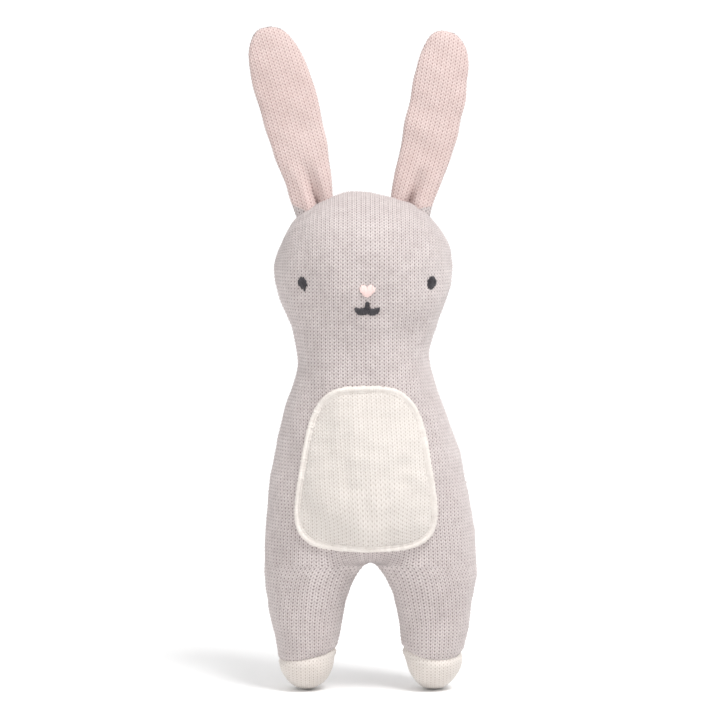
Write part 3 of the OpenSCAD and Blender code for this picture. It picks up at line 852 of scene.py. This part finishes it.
# %% Panel pieces
def mesh_piece(name, points, faces, material, knit_place=None, normals=None, bake=None):
    """An object from points and faces, with its stitch places and its bake places."""
    used, compact = np.unique(faces, return_inverse=True)
    compact = compact.reshape(faces.shape)
    corners = faces.shape[1]
    data = bpy.data.meshes.new(name)
    data.vertices.add(len(used))
    data.vertices.foreach_set("co", points[used].astype(np.float32).ravel())
    data.loops.add(compact.size)
    data.loops.foreach_set("vertex_index", compact.ravel().astype(np.int32))
    data.polygons.add(len(compact))
    data.polygons.foreach_set("loop_start", np.arange(0, compact.size, corners, dtype=np.int32))
    data.polygons.foreach_set("use_smooth", np.ones(len(compact), bool))
    for layer, values in (("knit", knit_place), ("OFBake", bake)):
        if values is not None:
            uv = data.uv_layers.new(name=layer)
            uv.uv.foreach_set("vector", values[faces.ravel()].astype(np.float32).ravel())
    data.update()
    data.validate()
    if normals is not None:
        data.normals_split_custom_set_from_vertices(normals[used].astype(np.float32).tolist())
    data.materials.append(material)
    piece = bpy.data.objects.new(name, data)
    bpy.context.scene.collection.objects.link(piece)
    return piece


def panel_piece(panel, name, wanted, material):
    faces = panel.faces[wanted]
    flat = np.stack([panel.u, panel.v], 1)
    low, high = flat[faces].min((0, 1)), flat[faces].max((0, 1))
    bake = (flat - low) / (high - low).max() * 0.98 + 0.01
    return mesh_piece(name, panel.points, faces, material, panel.knit, panel.normals, bake)


print("helpers: mesh_piece and panel_piece")

# %% [markdown]
# The legs are cut off along a plane that slants up and outwards from the crotch.

# %% Body and legs
HIP_SLOPE = 0.2             # rise of the cut for each metre outwards
CUT_Z = CROTCH_Z + 0.5 * MM
SIDES = {"left": 1, "right": -1}


def below_cut(points):
    return points[:, 2] < CUT_Z + HIP_SLOPE * np.abs(points[:, 0])


def follow_leg(piece, where, sign):
    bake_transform(piece)


for panel, face in ((body_front, "front"), (body_back, "back")):
    low = below_cut(panel.middle)
    piece = panel_piece(panel, "body_" + face, ~low, GREY_KNIT)
    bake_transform(piece)
    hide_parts(f"torso_{face}_knit", f"head_{face}_knit")
    if face == "front":
        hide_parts("torso_filling", "head_filling")
    for where, sign in SIDES.items():
        own_side = low & (panel.middle[:, 0] * sign > 0)
        leg_piece = panel_piece(panel, f"{where}_leg_{face}", own_side, GREY_KNIT)
        follow_leg(leg_piece, where, sign)
        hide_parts(f"{where}_leg_{face}_knit")
        if face == "front":
            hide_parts(f"{where}_leg_filling")
print(f"legs cut off at {CUT_Z * 1000:.1f} mm")

# %% Feet
# Its third colour is painted shade in the gaps between yarns.
CREAM_KNIT = knit(
    "cream_knit", colour(240, 234, 228), colour(222, 213, 206), colour(180, 165, 156), speck=0.35)
for panel, face in ((feet_front, "front"), (feet_back, "back")):
    for where, sign in SIDES.items():
        foot = panel_piece(panel, f"{where}_foot_{face}", panel.middle[:, 0] * sign > 0, CREAM_KNIT)
        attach(foot, where + "_leg")
        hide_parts(f"{where}_foot_{face}_knit")
print(f"feet sewn on at {CUFF_Z * 1000:.1f} mm")

# %% [markdown]
# ## Ears
#
# Each ear is two flat panels sewn together and turned, with a little wadding inside: pink knit
# in front and the body's grey knit behind. Before it is sewn into the head seam, its root is
# folded, and the fold stays as a deep crease between two soft lobes. The same lattice of
# stitches is laid along the ear, and both panels are bent together at the crease.

# %% Ear shape
# Its third colour is painted shade in the gaps between yarns.
PINK_KNIT = knit(
    "pink_knit", colour(233, 216, 212), colour(207, 182, 177), colour(146, 110, 106), speck=0.4)
EAR_HALF_THICK = 3.4 * MM
EAR_TIP_ROOM = 1.5 * MM     # the knit's rounded tip past the frame's last ring
EAR_BELOW = 13 * MM         # how far the panels reach below the flop line, into the head
ROOT_PIECE = 18 * MM        # where the ear's root piece ends and its blade starts
# The crease in each root: its place across the root, its slant towards the tip, its depth and
# length in mm, and the slant of the grey corner beside it.
PLAITS = {
    "left": (-0.5, 0.16, 5.5, 21, 0.45),
    "right": (2.2, -0.10, 6.0, 26, 0.85),
}
EAR_BLUNT = 2.3             # bluntness of the tips: 2 would be an ellipse
EAR_ENDS = {"left": 22 * MM, "right": 32 * MM}    # length of the rounded tip
EAR_SAGS = {"left": 0.4 * MM, "right": -3.6 * MM}  # how far a tip hangs off the ear's straight line

print("crease depths", [plait[2] for plait in PLAITS.values()], "mm")


# %% The ear's own directions
class EarFrame:
    """The ear's own directions: across, up and its origin on the flop line."""

    def __init__(self, side_name):
        joint = JOINTS[side_name + "_ear_flop"]
        self.origin = np.array(joint["pos_m"])
        self.across = np.array(joint["axis"])
        self.up = np.array([-self.across[2], 0, self.across[0]])
        fold = np.array(JOINTS[side_name + "_ear_fold"]["pos_m"])
        self.fold = (fold - self.origin) @ self.up
        edge = np.concatenate([node_points(side_name + part) for part in ("_ear_front", "_ear_tip_front")])
        edge = edge[np.abs(edge[:, 1]) < 0.2 * MM] - self.origin
        a, s = np.round(edge @ self.up, 4), edge @ self.across
        rows = [row for row in np.unique(a) if np.ptp(s[a == row]) > 6 * MM]
        self.tip = rows[-1] + EAR_TIP_ROOM
        middles = [(s[a == row].min() + s[a == row].max()) / 2 for row in rows]
        halves = [(s[a == row].max() - s[a == row].min()) / 2 + SEAM_DIP for row in rows]
        places = [rows[0] - EAR_BELOW] + rows
        middle_line = smooth_curve(places, [middles[0]] + middles)
        half_line = smooth_curve(places, [halves[0] - 0.8 * MM] + halves)
        self.middle_curve = softened(middle_line, places[0], rows[-1], 5 * MM)
        self.half_curve = softened(half_line, places[0], rows[-1], 5 * MM)
        self.round_end = self.tip - EAR_ENDS[side_name]
        self.sag = EAR_SAGS[side_name]

    def middle(self, a):
        """Place of the middle line at height a. A hanging ear bends more and more towards its tip."""
        return self.middle_curve(a) + self.sag * np.clip(a / self.tip, 0, 1) ** 2

    def half(self, a):
        """Half width. The tip is a blunt, full round."""
        past = np.clip((a - self.round_end) / (self.tip - self.round_end), 0, 1)
        return self.half_curve(min(a, self.round_end)) * (1 - past ** EAR_BLUNT) ** (1 / EAR_BLUNT)

    def world(self, s, y, a):
        return (self.origin + np.multiply.outer(s, self.across) + np.multiply.outer(a, self.up)
                + np.multiply.outer(y, [0, 1, 0]))


# %% Courses of an ear
def ear_course(ear, a, sign):
    """Half a course, from the ear's middle line to one edge, in the ear's own (across, y, up)."""
    middle, half = ear.middle(a), ear.half(a)
    t = np.linspace(0, math.pi / 2, 61)
    near_tip = math.sqrt(max(0.0, 1 - (max(0.0, a - 0.72 * ear.tip) / (0.28 * ear.tip)) ** 2))
    thick = EAR_HALF_THICK * max(near_tip, 0.02)
    s = half * np.sin(t)
    line = np.stack([s, -thick * np.cos(t) ** 0.8, np.full_like(s, a)], 1)
    wale = lengths(line)
    line[:, 0] = line[:, 0] * sign + middle
    return line, wale, middle


def crease(side_name, s, a):
    """How far the folded root pushes both panels back, and how far its lobes come forward."""
    place, slant, depth, length, _ = PLAITS[side_name]
    from_root = np.clip(a / MM + 5, 0, None)
    centre = place + slant * from_root
    fade = np.clip(1 - from_root / length, 0, 1) ** 1.3
    off = s / MM - centre
    width = 1.7 + 0.09 * from_root
    groove = np.exp(-np.abs(off / width) ** 1.6)
    lobes = np.exp(-((np.abs(off) - 5.5) / 3.2) ** 2)
    return (depth * groove - 2.0 * lobes) * fade * MM


def ear_lattice(side_name):
    ear = EarFrame(side_name)
    rows = np.arange(math.ceil(-EAR_BELOW / DV), math.floor(ear.tip / DV) + 1 + SPARE_ROWS) * DV
    lattice = Lattice(rows, 34)

    def place(line):
        bent = line[:, 1] + crease(side_name, line[:, 0], line[:, 2])
        return ear.world(line[:, 0], bent, line[:, 2])

    for j, a in enumerate(rows[rows <= ear.tip]):
        for sign in (1, -1):
            line, wale, middle = ear_course(ear, a, sign)
            own = lattice.u * sign
            here = (own >= -1e-12) & (own <= wale[-1])
            found = place(np.stack([np.interp(own[here], wale, line[:, axis]) for axis in range(3)], 1))
            lattice.points[j, here] = found
            lattice.inside[j] |= here
    for a in ear.tip - (ear.tip + EAR_BELOW) * np.linspace(0, 1, 500) ** 1.5:
        for sign in (1, -1):
            line, wale, middle = ear_course(ear, min(a, ear.tip - 1e-6), sign)
            point = place(line[-1:])[0]
            lattice.add_rim(sign * wale[-1], a, point)
    return ear, lattice


def ear_stuffing(points, u, v):
    return lumps(points, 0.3 * MM, 15 * MM, seed=9)


def out_of_head(points):
    """True where a point isn't yet well inside the head."""
    size = np.array([side(HEAD_Z), front(HEAD_Z), CROWN_H]) - 2.2 * MM
    off = points - [0, 0, HEAD_Z]
    off[:, 0] -= slump(points[:, 2])
    return ((off / size) ** 2).sum(1) > 1


def grey_corner(side_name, ear, points):
    """The back panel comes round the ear's outer corner at its root."""
    local = points - ear.origin
    s, a = local @ ear.across / MM, local @ ear.up / MM
    outwards = SIDES[side_name] * s
    return a + 8.5 < (outwards - 1.5) * PLAITS[side_name][4]


# %% [markdown]
# ## Sewing the ears
#
# Both panels of an ear have the same edge, so they close all round. Cloth that would lie deep in
# the head is left out. Each ear is cut into a root and a blade.

# %% The ears
for side_name in SIDES:
    ear, lattice = ear_lattice(side_name)
    everywhere = np.ones(lattice.inside.shape, bool)
    for face, material in (("front", PINK_KNIT), ("back", GREY_KNIT)):
        panel_lattice = lattice
        if face == "back":
            panel_lattice = Lattice(lattice.v, 34)
            panel_lattice.inside = lattice.inside
            local = lattice.points - ear.origin
            s, a = local @ ear.across, local @ ear.up
            bend = np.nan_to_num(crease(side_name, s, a))
            mirrored = lattice.points.copy()
            mirrored[..., 1] = lattice.points[..., 1] - bend - bend
            panel_lattice.points = mirrored
            rims = np.array(lattice.rim)
            local = rims[:, 2:] - ear.origin
            bend = crease(side_name, local @ ear.across, local @ ear.up)
            rims[:, 3] -= 2 * bend
        else:
            rims = np.array(lattice.rim)
        panel = Panel(panel_lattice, everywhere, rims, ear_stuffing, back=face == "back")
        up = (panel.middle - ear.origin) @ ear.up
        shown = out_of_head(panel.middle)
        root = panel_piece(panel, f"{side_name}_ear_root_{face}", shown & (up < ROOT_PIECE), material)
        flop = Vector(ear.origin)
        up_vector = Vector(ear.up)
        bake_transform(root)
        blade = panel_piece(panel, f"{side_name}_ear_blade_{face}", shown & (up >= ROOT_PIECE), material)
        fold = Vector(JOINTS[side_name + "_ear_fold"]["pos_m"])
        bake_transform(blade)
        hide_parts(f"{side_name}_ear_{face}", f"{side_name}_ear_tip_{face}")
        if face == "front":
            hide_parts(f"{side_name}_ear_root")
            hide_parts(f"{side_name}_ear_wadding", f"{side_name}_ear_tip_wadding")
            root.data.materials.append(GREY_KNIT)
            centres = np.array([polygon.center for polygon in root.data.polygons])
            grey = grey_corner(side_name, ear, centres)
            root.data.polygons.foreach_set("material_index", grey.astype(np.int32))
        for piece in (root, blade):
            "pink_knit" if face == "front" else "grey_knit"
    print(side_name, "ear", round(ear.tip * 1000), "mm above its flop line")

# %% [markdown]
# ## Belly patch
#
# The patch is a flat piece of cream knit laid on the belly, so it takes the belly's curve. Its
# stitches are worked out on the body's own lattice, a millimetre further out. Its cut edge is
# covered all round by a satin-stitched cord: hundreds of threads side by side, wound over the
# edge, with a sewn line just inside it.

# %% Outline of the patch
EDGING_LOW, EDGING_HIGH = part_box("patch_edging")
PATCH_MIDDLE = (EDGING_LOW + EDGING_HIGH) / 2
PATCH_TAPER = 0.2           # how much narrower it gets upwards
PATCH_SQUARENESS = 4.0
PATCH_SHIFT = -0.6 * MM     # it was sewn on a little off the middle


def patch_outline(count, inset=0.0):
    """(x, z) of the patch's outline, evenly turned about its middle."""
    turn = np.linspace(0, 2 * math.pi, count, endpoint=False)
    power = 2 / PATCH_SQUARENESS
    up = np.sign(np.sin(turn)) * np.abs(np.sin(turn)) ** power
    out = np.sign(np.cos(turn)) * np.abs(np.cos(turn)) ** power * (1 - PATCH_TAPER * up)
    half = (EDGING_HIGH - EDGING_LOW) / 2
    x = out * (half.x / out.max() - inset)
    bow = 1.6 * MM * (1 - out ** 2) * np.clip(up, 0, 1) ** 8
    return np.stack([x + PATCH_SHIFT, PATCH_MIDDLE.z + up * (half.z - inset) + bow], 1)


def even(line, count):
    """The closed line again, with that many evenly spaced points."""
    closed = np.vstack([line, line[:1]])
    place = np.concatenate([[0], np.cumsum(np.linalg.norm(np.diff(closed, axis=0), axis=1))])
    wanted = np.linspace(0, place[-1], count, endpoint=False)
    return np.stack([np.interp(wanted, place, closed[:, k]) for k in range(2)], 1)


def inside_outline(x, z, line):
    """True where (x, z) is inside the closed line."""
    angle = np.arctan2(line[:, 1] - PATCH_MIDDLE.z, line[:, 0])
    reach = np.hypot(line[:, 0], line[:, 1] - PATCH_MIDDLE.z)
    order = np.argsort(angle)
    limit = np.interp(np.arctan2(z - PATCH_MIDDLE.z, x), angle[order], reach[order], period=2 * math.pi)
    return np.hypot(x, z - PATCH_MIDDLE.z) < limit


def front_point(x, z, rise=0.0):
    """The point of the body's front at (x, z), raised along its normal, and that normal."""
    place, normal, _, _ = body_front.tree.ray_cast(Vector((x, -1, z)), Vector((0, 1, 0)))
    if normal.y > 0:
        normal = -normal
    return np.array(place + normal * rise), np.array(normal)


print("patch and edging", round((EDGING_HIGH.z - EDGING_LOW.z) * 1000, 1), "mm high")

# %% [markdown]
# ## The patch's own knit
#
# The patch could be cut out of the body's mesh, but it is a second layer of cloth with its own
# colour. So it borrows the body's grid of stitches, lifted a little off the belly, and its edge
# is drawn onto the outline. Thin wadding under it makes it a shade fuller in the middle.

# %% The patch
PATCH_RISE = 1.1 * MM       # height of the patch's cloth above the belly's
PATCH_PUFF = 0.7 * MM       # how much fuller its middle is
patch_line = even(patch_outline(2000, inset=1.9 * MM), 900)
shape = FRONT.inside.shape
cloth_normals = vertex_normals(body_front.cloth, body_front.faces)
patch_lattice = Lattice(FRONT.v, 130)
patch_lattice.points = (body_front.cloth + cloth_normals * PATCH_RISE).reshape(shape + (3,))
on_patch = inside_outline(body_front.cloth[:, 0], body_front.cloth[:, 2], patch_line)
patch_lattice.inside = (on_patch & (np.abs(cloth_normals).sum(1) > 0.5)).reshape(shape)
front_tree = tree_of(body_front.cloth[:, 0], body_front.cloth[:, 2])
for x, z in patch_line:
    nearest = front_tree.find((x, z, 0))[1]
    patch_lattice.add_rim(body_front.u[nearest], body_front.v[nearest], front_point(x, z, PATCH_RISE)[0])


def patch_stuffing(points, u, v):
    off = np.hypot(points[:, 0] / (30 * MM), (points[:, 2] - PATCH_MIDDLE.z) / (38 * MM))
    return PATCH_PUFF * np.clip(1 - off ** 4, 0, 1) + lumps(points, 0.15 * MM, 12 * MM, seed=12)


# Its third colour is painted shade in the gaps between yarns.
PATCH_KNIT = knit(
    "patch_knit", colour(233, 228, 223), colour(217, 209, 203), colour(182, 169, 160), speck=0.3)
patch_panel = Panel(patch_lattice, np.ones(shape, bool), np.array(patch_lattice.rim), patch_stuffing)
patch = panel_piece(patch_panel, "knit_patch", np.ones(len(patch_panel.faces), bool), PATCH_KNIT)
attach(patch, "torso")
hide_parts("belly_patch")
print("faces in the patch", len(patch_panel.faces))

# %% [markdown]
# ## Threads
#
# The edging, the face and the closing stitches are all thread. A thread could be a curve with a
# round bevel, but hundreds of curves are slow. One mesh of thin six-sided tubes, tapered at their
# ends, does for a whole group of stitches. Its material is two shades in fine streaks.

# %% Threads
def yarn_material(name, light, dark, gloss=0.6, scale=2400, sheen=0.2, specular=0.25):
    """Embroidery or sewing thread: two shades in fine streaks."""

    def base(start):
        where = start.node("TexCoord", output=3)
        streaks = start.noise(where, scale, 3) * 0.7 + start.noise(where, scale / 6, 1) * 0.3
        return ((streaks - 0.5) * 2.2 + 0.5).clamped().mix(dark, light)

    def height(start):
        return start.noise(start.node("TexCoord", output=3), scale * 1.4, 3)

    return fabric(name, base, gloss, height, 0.00012, sheen=sheen, specular=specular)


CREAM_SATIN = yarn_material("cream_satin", colour(236, 231, 226), colour(212, 203, 196))
CHARCOAL = yarn_material(
    "charcoal_thread", colour(72, 68, 73), colour(20, 18, 22), 0.34, sheen=0.0, specular=0.5)
ROSE = yarn_material("rose_thread", colour(243, 222, 218), colour(226, 194, 189), 0.55)
GREY_THREAD = yarn_material("grey_thread", colour(214, 204, 200), colour(176, 164, 161))


def thread_mesh(name, lines, radii, material, sides=6):
    """One mesh of round threads, each through the points of a line, tapered and closed at its ends."""
    points, faces = [], []
    angles = np.linspace(0, 2 * math.pi, sides, endpoint=False)
    for line, radius in zip(lines, radii):
        line = np.asarray(line)
        first = len(points)
        along = np.gradient(line, axis=0)
        along /= np.linalg.norm(along, axis=1, keepdims=True)
        aside = np.cross(along, [0.01, -1.0, 0.02])
        aside /= np.linalg.norm(aside, axis=1, keepdims=True)
        out = np.cross(aside, along)
        for k, centre in enumerate(line):
            taper = 0.55 if k in (0, len(line) - 1) else 1.0
            for angle in angles:
                spoke = aside[k] * math.cos(angle) + out[k] * math.sin(angle)
                points.append(centre + spoke * radius * taper)
        for k in range(len(line) - 1):
            for i in range(sides):
                a, b = first + k * sides + i, first + k * sides + (i + 1) % sides
                faces.append((a, b, b + sides, a + sides))
        for k in (0, len(line) - 1):
            ring = [first + k * sides + i for i in range(sides)]
            points.append(line[k])
            for i in range(0, sides, 2):
                corner = (len(points) - 1, ring[(i + 2) % sides], ring[(i + 1) % sides], ring[i])
                faces.append(corner if k == 0 else corner[::-1])
    return mesh_piece(name, np.array(points), np.array(faces), material)


print("thread materials", CREAM_SATIN.name, CHARCOAL.name, ROSE.name, GREY_THREAD.name)

# %% [markdown]
# ## The cord round the patch
#
# Satin stitching is wound over the patch's raw edge, thread beside thread, so the edging is a low
# round ridge with a fine groove between threads. Five hundred separate tubes would cut through
# each other here. Instead one profile is swept round the outline in three steps for each thread:
# down in the groove and twice up on the thread, each thread a little uneven.

# %% The cord round the patch
EDGING_PROFILE = np.array([  # across from the patch's side to the outside, and height, in mm
    [-2.3, -0.4], [-2.1, 0.75], [-1.6, 1.25], [-1.15, 1.0], [-0.85, 1.35], [-0.35, 1.85],
    [0.3, 1.95], [0.9, 1.6], [1.35, 0.95], [1.6, 0.1], [1.65, -0.6],
]) * MM
EDGING_THREADS = 520
edging_line = even(patch_outline(2000, inset=1.6 * MM), EDGING_THREADS * 3)
rng = np.random.default_rng(21)
spread = rng.normal(0, 0.16 * MM, EDGING_THREADS)
lift = rng.normal(0, 0.07 * MM, EDGING_THREADS)
bases = [front_point(x, z) for x, z in edging_line]
centre = np.array([base[0] for base in bases])
out = np.array([base[1] for base in bases])
ahead = np.roll(centre, -4, 0) - np.roll(centre, 4, 0)
ahead /= np.linalg.norm(ahead, axis=1, keepdims=True)
aside = np.cross(out, ahead)
aside /= np.linalg.norm(aside, axis=1, keepdims=True)
if (aside[0] * (centre[0] - centre.mean(0))).sum() < 0:
    aside = -aside
number = np.arange(EDGING_THREADS * 3) // 3
place = np.arange(EDGING_THREADS * 3) % 3
ridge = np.array([-0.13, 0.06, 0.06])[place] * MM + lift[number]
overlap = 0.35 * MM * np.exp(-((np.arange(len(centre)) / len(centre) - 0.735) / 0.012) ** 2)
rings = []
for across, height in EDGING_PROFILE:
    wide = across + spread[number] * (1 if abs(across) > 1.2 * MM else 0.2) * np.sign(across)
    high = height + (ridge + overlap) * (1 if height > 0.5 * MM else 0)
    rings.append(centre + aside * wide[:, None] + out * high[:, None])
rings = np.array(rings)
count, around = rings.shape[:2]
k, i = np.meshgrid(np.arange(count - 1), np.arange(around), indexing="ij")
here, after = k * around, (k + 1) * around
beside = (i + 1) % around
quads = np.stack([here + i, here + beside, after + beside, after + i], -1)
edging = mesh_piece("patch_cord", rings.reshape(-1, 3), quads.reshape(-1, 4), CREAM_SATIN)
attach(edging, "torso")
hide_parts("patch_edging")
length = np.linalg.norm(np.diff(centre, axis=0), axis=1).sum()
cut = patch_lattice.inside.ravel()      # the cloth itself, without the points drawn onto its edge
flat_size = np.ptp(patch_panel.u[cut]) + DU, np.ptp(patch_panel.v[cut]) + DV
stitches_area = cut.sum() * DU * DV
print(f"patch {flat_size[0] * 1000:.1f} x {flat_size[1] * 1000:.1f} mm flat, {stitches_area * 1e6:.0f} mm2, "
      f"edging {length * 1000:.0f} mm round")

# %% [markdown]
# ## Face
#
# The eyes, nose and mouth are embroidered by hand with thick thread. Each is a bundle of satin
# stitches: threads side by side that come up out of the cloth, lie over it in a low arch and go
# down again. Drawing every thread gives the face its small uneven edges.

# %% Satin stitches
def stitch_line(start, end, height, sink=0.9 * MM, count=9):
    """One thread from start to end on the front, both (x, z): up out of the cloth, over it and down."""
    line = []
    for t in np.linspace(0, 1, count):
        x, z = (1 - t) * start[0] + t * end[0], (1 - t) * start[1] + t * end[1]
        arch = math.sin(math.pi * t) ** 0.45
        line.append(front_point(x, z, -sink + (sink + height) * arch)[0])
    return line


def embroider(name, stitches, material, body, radius=0.42 * MM, seed=1, jitter=0.12 * MM):
    """A piece of stitches, each (start, end, height), a little uneven."""
    rng = np.random.default_rng(seed)
    lines, radii = [], []
    for start, end, height in stitches:
        start = np.array(start) + rng.normal(0, jitter, 2)
        end = np.array(end) + rng.normal(0, jitter, 2)
        lines.append(stitch_line(start, end, height))
        radii.append(radius * rng.uniform(0.88, 1.1))
    piece = thread_mesh(name + "_threads", lines, radii, material)
    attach(piece, body)
    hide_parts(name)
    return piece


def oval(centre, width, height, count, lean, tail=0.0):
    """Upright satin stitches that fill an oval. tail draws the middle ones out below."""
    stitches = []
    for t in np.linspace(-1, 1, count):
        half = math.sqrt(max(0, 1 - (t * 0.85) ** 2)) * height / 2
        x = centre.x + t * (width / 2 - 0.35 * MM)
        drop = tail * max(0, 1 - abs(t - 0.3) * 3.5)
        low, high = centre.z - half - drop, centre.z + half
        stitches.append(((x + lean * (low - centre.z), low), (x + lean * (high - centre.z), high),
                         0.55 * MM + 0.35 * MM * (1 - t * t)))
    return stitches


# %% Eyes
def eye(name, width, height, lean, tail, seed):
    centre = EYE_CENTRES[name]
    upper = oval(centre, width, height, 7, lean, tail)
    under = oval(centre, width * 0.8, height * 0.8, 5, lean + 0.25)
    under = [(start, end, 0.25 * MM) for start, end, _ in under]
    embroider(name, under + upper, CHARCOAL, "head", seed=seed)


eye("left_eye", 4.2 * MM, 7.6 * MM, 0.10, 0.0, 31)
eye("right_eye", 4.3 * MM, 6.8 * MM, -0.12, 1.7 * MM, 32)
print("eyes", {name: round(centre.z * 1000, 1) for name, centre in EYE_CENTRES.items()}, "mm up")

# %% Nose
NOSE_LOW, NOSE_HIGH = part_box("nose")
NOSE = (NOSE_LOW + NOSE_HIGH) / 2
NOSE_THREAD = 0.5 * MM      # radius of the nose's thread


def nose_stitches():
    """Upright stitches that fill a small heart."""
    half_wide = (NOSE_HIGH.x - NOSE_LOW.x) / 2 - NOSE_THREAD
    half_high = (NOSE_HIGH.z - NOSE_LOW.z) / 2 - NOSE_THREAD
    stitches = []
    for t in np.linspace(-0.93, 0.93, 11):
        lobe = math.sin(math.pi * min(1, abs(t) * 0.95 + 0.03)) ** 0.7
        top = half_high * (0.45 + 0.6 * lobe) * (1 - 0.3 * abs(t) ** 6)
        bottom = -half_high * (1.05 - abs(t) ** 2.4)
        rise = (0.75 + 0.35 * math.sin(math.pi * abs(t))) * MM
        start = (NOSE.x + t * half_wide * 0.85, NOSE.z + bottom)
        stitches.append((start, (NOSE.x + t * half_wide, NOSE.z + top), rise))
    return stitches


embroider("nose", nose_stitches(), ROSE, "head", seed=33, radius=NOSE_THREAD)
print("nose stitches", len(nose_stitches()))

# %% Mouth
MOUTH_LOW, MOUTH_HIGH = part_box("mouth")
MOUTH_X = (MOUTH_LOW.x + MOUTH_HIGH.x) / 2


def mouth_stitches():
    """A short upright stem and two plump curves, stitched across."""
    half = (MOUTH_HIGH.x - MOUTH_LOW.x) / 2
    low, top = MOUTH_LOW.z, MOUTH_HIGH.z
    stitches = []
    for sign, drop, curl in ((-1, 0.0, 0.1 * MM), (1, -0.2 * MM, 0.5 * MM)):
        for t in np.linspace(0.06, 0.96, 10):
            x = MOUTH_X + sign * half * t * 0.9
            z = low + 2.1 * MM - 0.8 * MM * math.sin(math.pi * t) + curl * t ** 3 + drop
            thick = 1.9 * MM * (1 - abs(2 * t - 0.95) ** 5 * 0.45)
            slant = 0.25 * sign
            stitches.append(((x - slant * thick, z - thick), (x + slant * thick, z + thick), 0.75 * MM))
    for shift in (-0.9, -0.1, 0.8):
        start = (MOUTH_X + shift * MM, low + 1.9 * MM)
        end = (MOUTH_X + shift * 0.7 * MM, top - abs(shift) * MM)
        stitches.append((start, end, 0.85 * MM))
    return stitches


embroider("mouth", mouth_stitches(), CHARCOAL, "head", seed=34, radius=0.4 * MM)
print("mouth stitches", len(mouth_stitches()))

# %% [markdown]
# ## Closing stitches
#
# The toy is filled through a gap left in one side seam, and the gap is closed by hand with a
# ladder of small stitches in grey thread.

# %% Ladder stitches
SEAM_LOW, SEAM_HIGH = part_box("closing_stitches")
RUNGS = 9
rng = np.random.default_rng(41)
rungs = []
for z in np.linspace(SEAM_LOW.z + 1.5 * MM, SEAM_HIGH.z - 1.5 * MM, RUNGS):
    half = rng.uniform(1.25, 1.6) * MM
    lean = rng.uniform(-0.6, 0.6) * MM
    seam = side(z) + slump(z)
    rungs.append([
        (seam - 0.75 * MM - 0.5 * MM * t * t + 0.3 * MM * (1 - t * t), half * t, z + lean * t)
        for t in np.linspace(-1, 1, 9)
    ])
closing = thread_mesh("ladder_stitches", rungs, [0.4 * MM] * RUNGS, GREY_THREAD)
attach(closing, "torso")
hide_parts("closing_stitches")
print("closing stitches", RUNGS)

# %% [markdown]
# ## Floor and light
#
# The toy stands on a pale floor that curves up behind it. A square lamp in front and to one side
# gives the soft shadow, a weaker one fills the other side, and a white room lights the rest.

# %% Floor and light
def backdrop():
    """One sheet that is the floor and turns up into a wall."""
    radius, depth, height, wide = 0.5, 1.2, 3.0, 8.0
    profile = [(-2.5, 0.0), (depth, 0.0)]
    for a in np.linspace(0, math.pi / 2, 17)[1:]:
        profile.append((depth + radius * math.sin(a), radius - radius * math.cos(a)))
    profile.append((depth + radius, height))
    points = np.array([(x, y, z) for y, z in profile for x in (-wide, wide)])
    faces = np.array([(2 * i, 2 * i + 1, 2 * i + 3, 2 * i + 2) for i in range(len(profile) - 1)])
    material = fabric("pale_floor", lambda s: s.noise(s.node("TexCoord", output=3), 3.0).mix(
        colour(253, 253, 253), colour(255, 255, 255)), 0.8, sheen=0.0)
    floor = mesh_piece("floor", points, faces, material)
    floor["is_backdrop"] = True


def soft_light(name, place, target, size, power):
    lamp = bpy.data.lights.new(name, "AREA")
    lamp.shape, lamp.size, lamp.energy = "SQUARE", size, power
    holder = bpy.data.objects.new(name, lamp)
    holder.location = place
    holder.rotation_euler = (Vector(target) - Vector(place)).to_track_quat("-Z", "Y").to_euler()
    bpy.context.scene.collection.objects.link(holder)


backdrop()
soft_light("key", (0.6, -0.75, 1.6), (0, 0, 0.1), 0.7, 25)
soft_light("fill", (-1.3, -1.2, 0.8), (0, 0, 0.15), 1.2, 4)
world = bpy.data.worlds.new("room")
world.use_nodes = True
world.node_tree.nodes["Background"].inputs["Color"].default_value = (1, 1, 1, 1)
world.node_tree.nodes["Background"].inputs["Strength"].default_value = 0.76
bpy.context.scene.world = world
bpy.context.scene.view_settings.view_transform = "Standard"
print("lamps: key and fill, in a white room")

# %% [markdown]
# ## Camera
#
# The camera looks slightly down, from far enough off that the toy isn't distorted. Its lens
# follows from the height that it has to take in.

# %% Camera
CAMERA_FAR = 1.5
CAMERA_RISE = math.radians(4)
FRAME_HEIGHT = 0.3585       # height that the camera takes in, at the toy
AIM = Vector((-3.5 * MM, 0, 165.5 * MM))
lens = bpy.data.cameras.new("camera")
lens.sensor_width = 36
lens.lens = 36 * CAMERA_FAR / FRAME_HEIGHT
camera = bpy.data.objects.new("camera", lens)
camera.location = AIM + Vector((0, -math.cos(CAMERA_RISE), math.sin(CAMERA_RISE))) * CAMERA_FAR
camera.rotation_euler = (math.pi / 2 - CAMERA_RISE, 0, 0)
bpy.context.scene.collection.objects.link(camera)
bpy.context.scene.camera = camera
print(f"lens {lens.lens:.0f} mm at {CAMERA_FAR} m")

# %% [markdown]
# ## Sizes, and the end
#
# The knit must stay close to the working model, so both boxes are measured, and the visual one is printed.

# %% Finish
VISUAL_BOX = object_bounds()
sizes = {"cad": [list(corner) for corner in CAD_BOX], "visual": [list(corner) for corner in VISUAL_BOX]}
print("visual box", sizes["visual"])
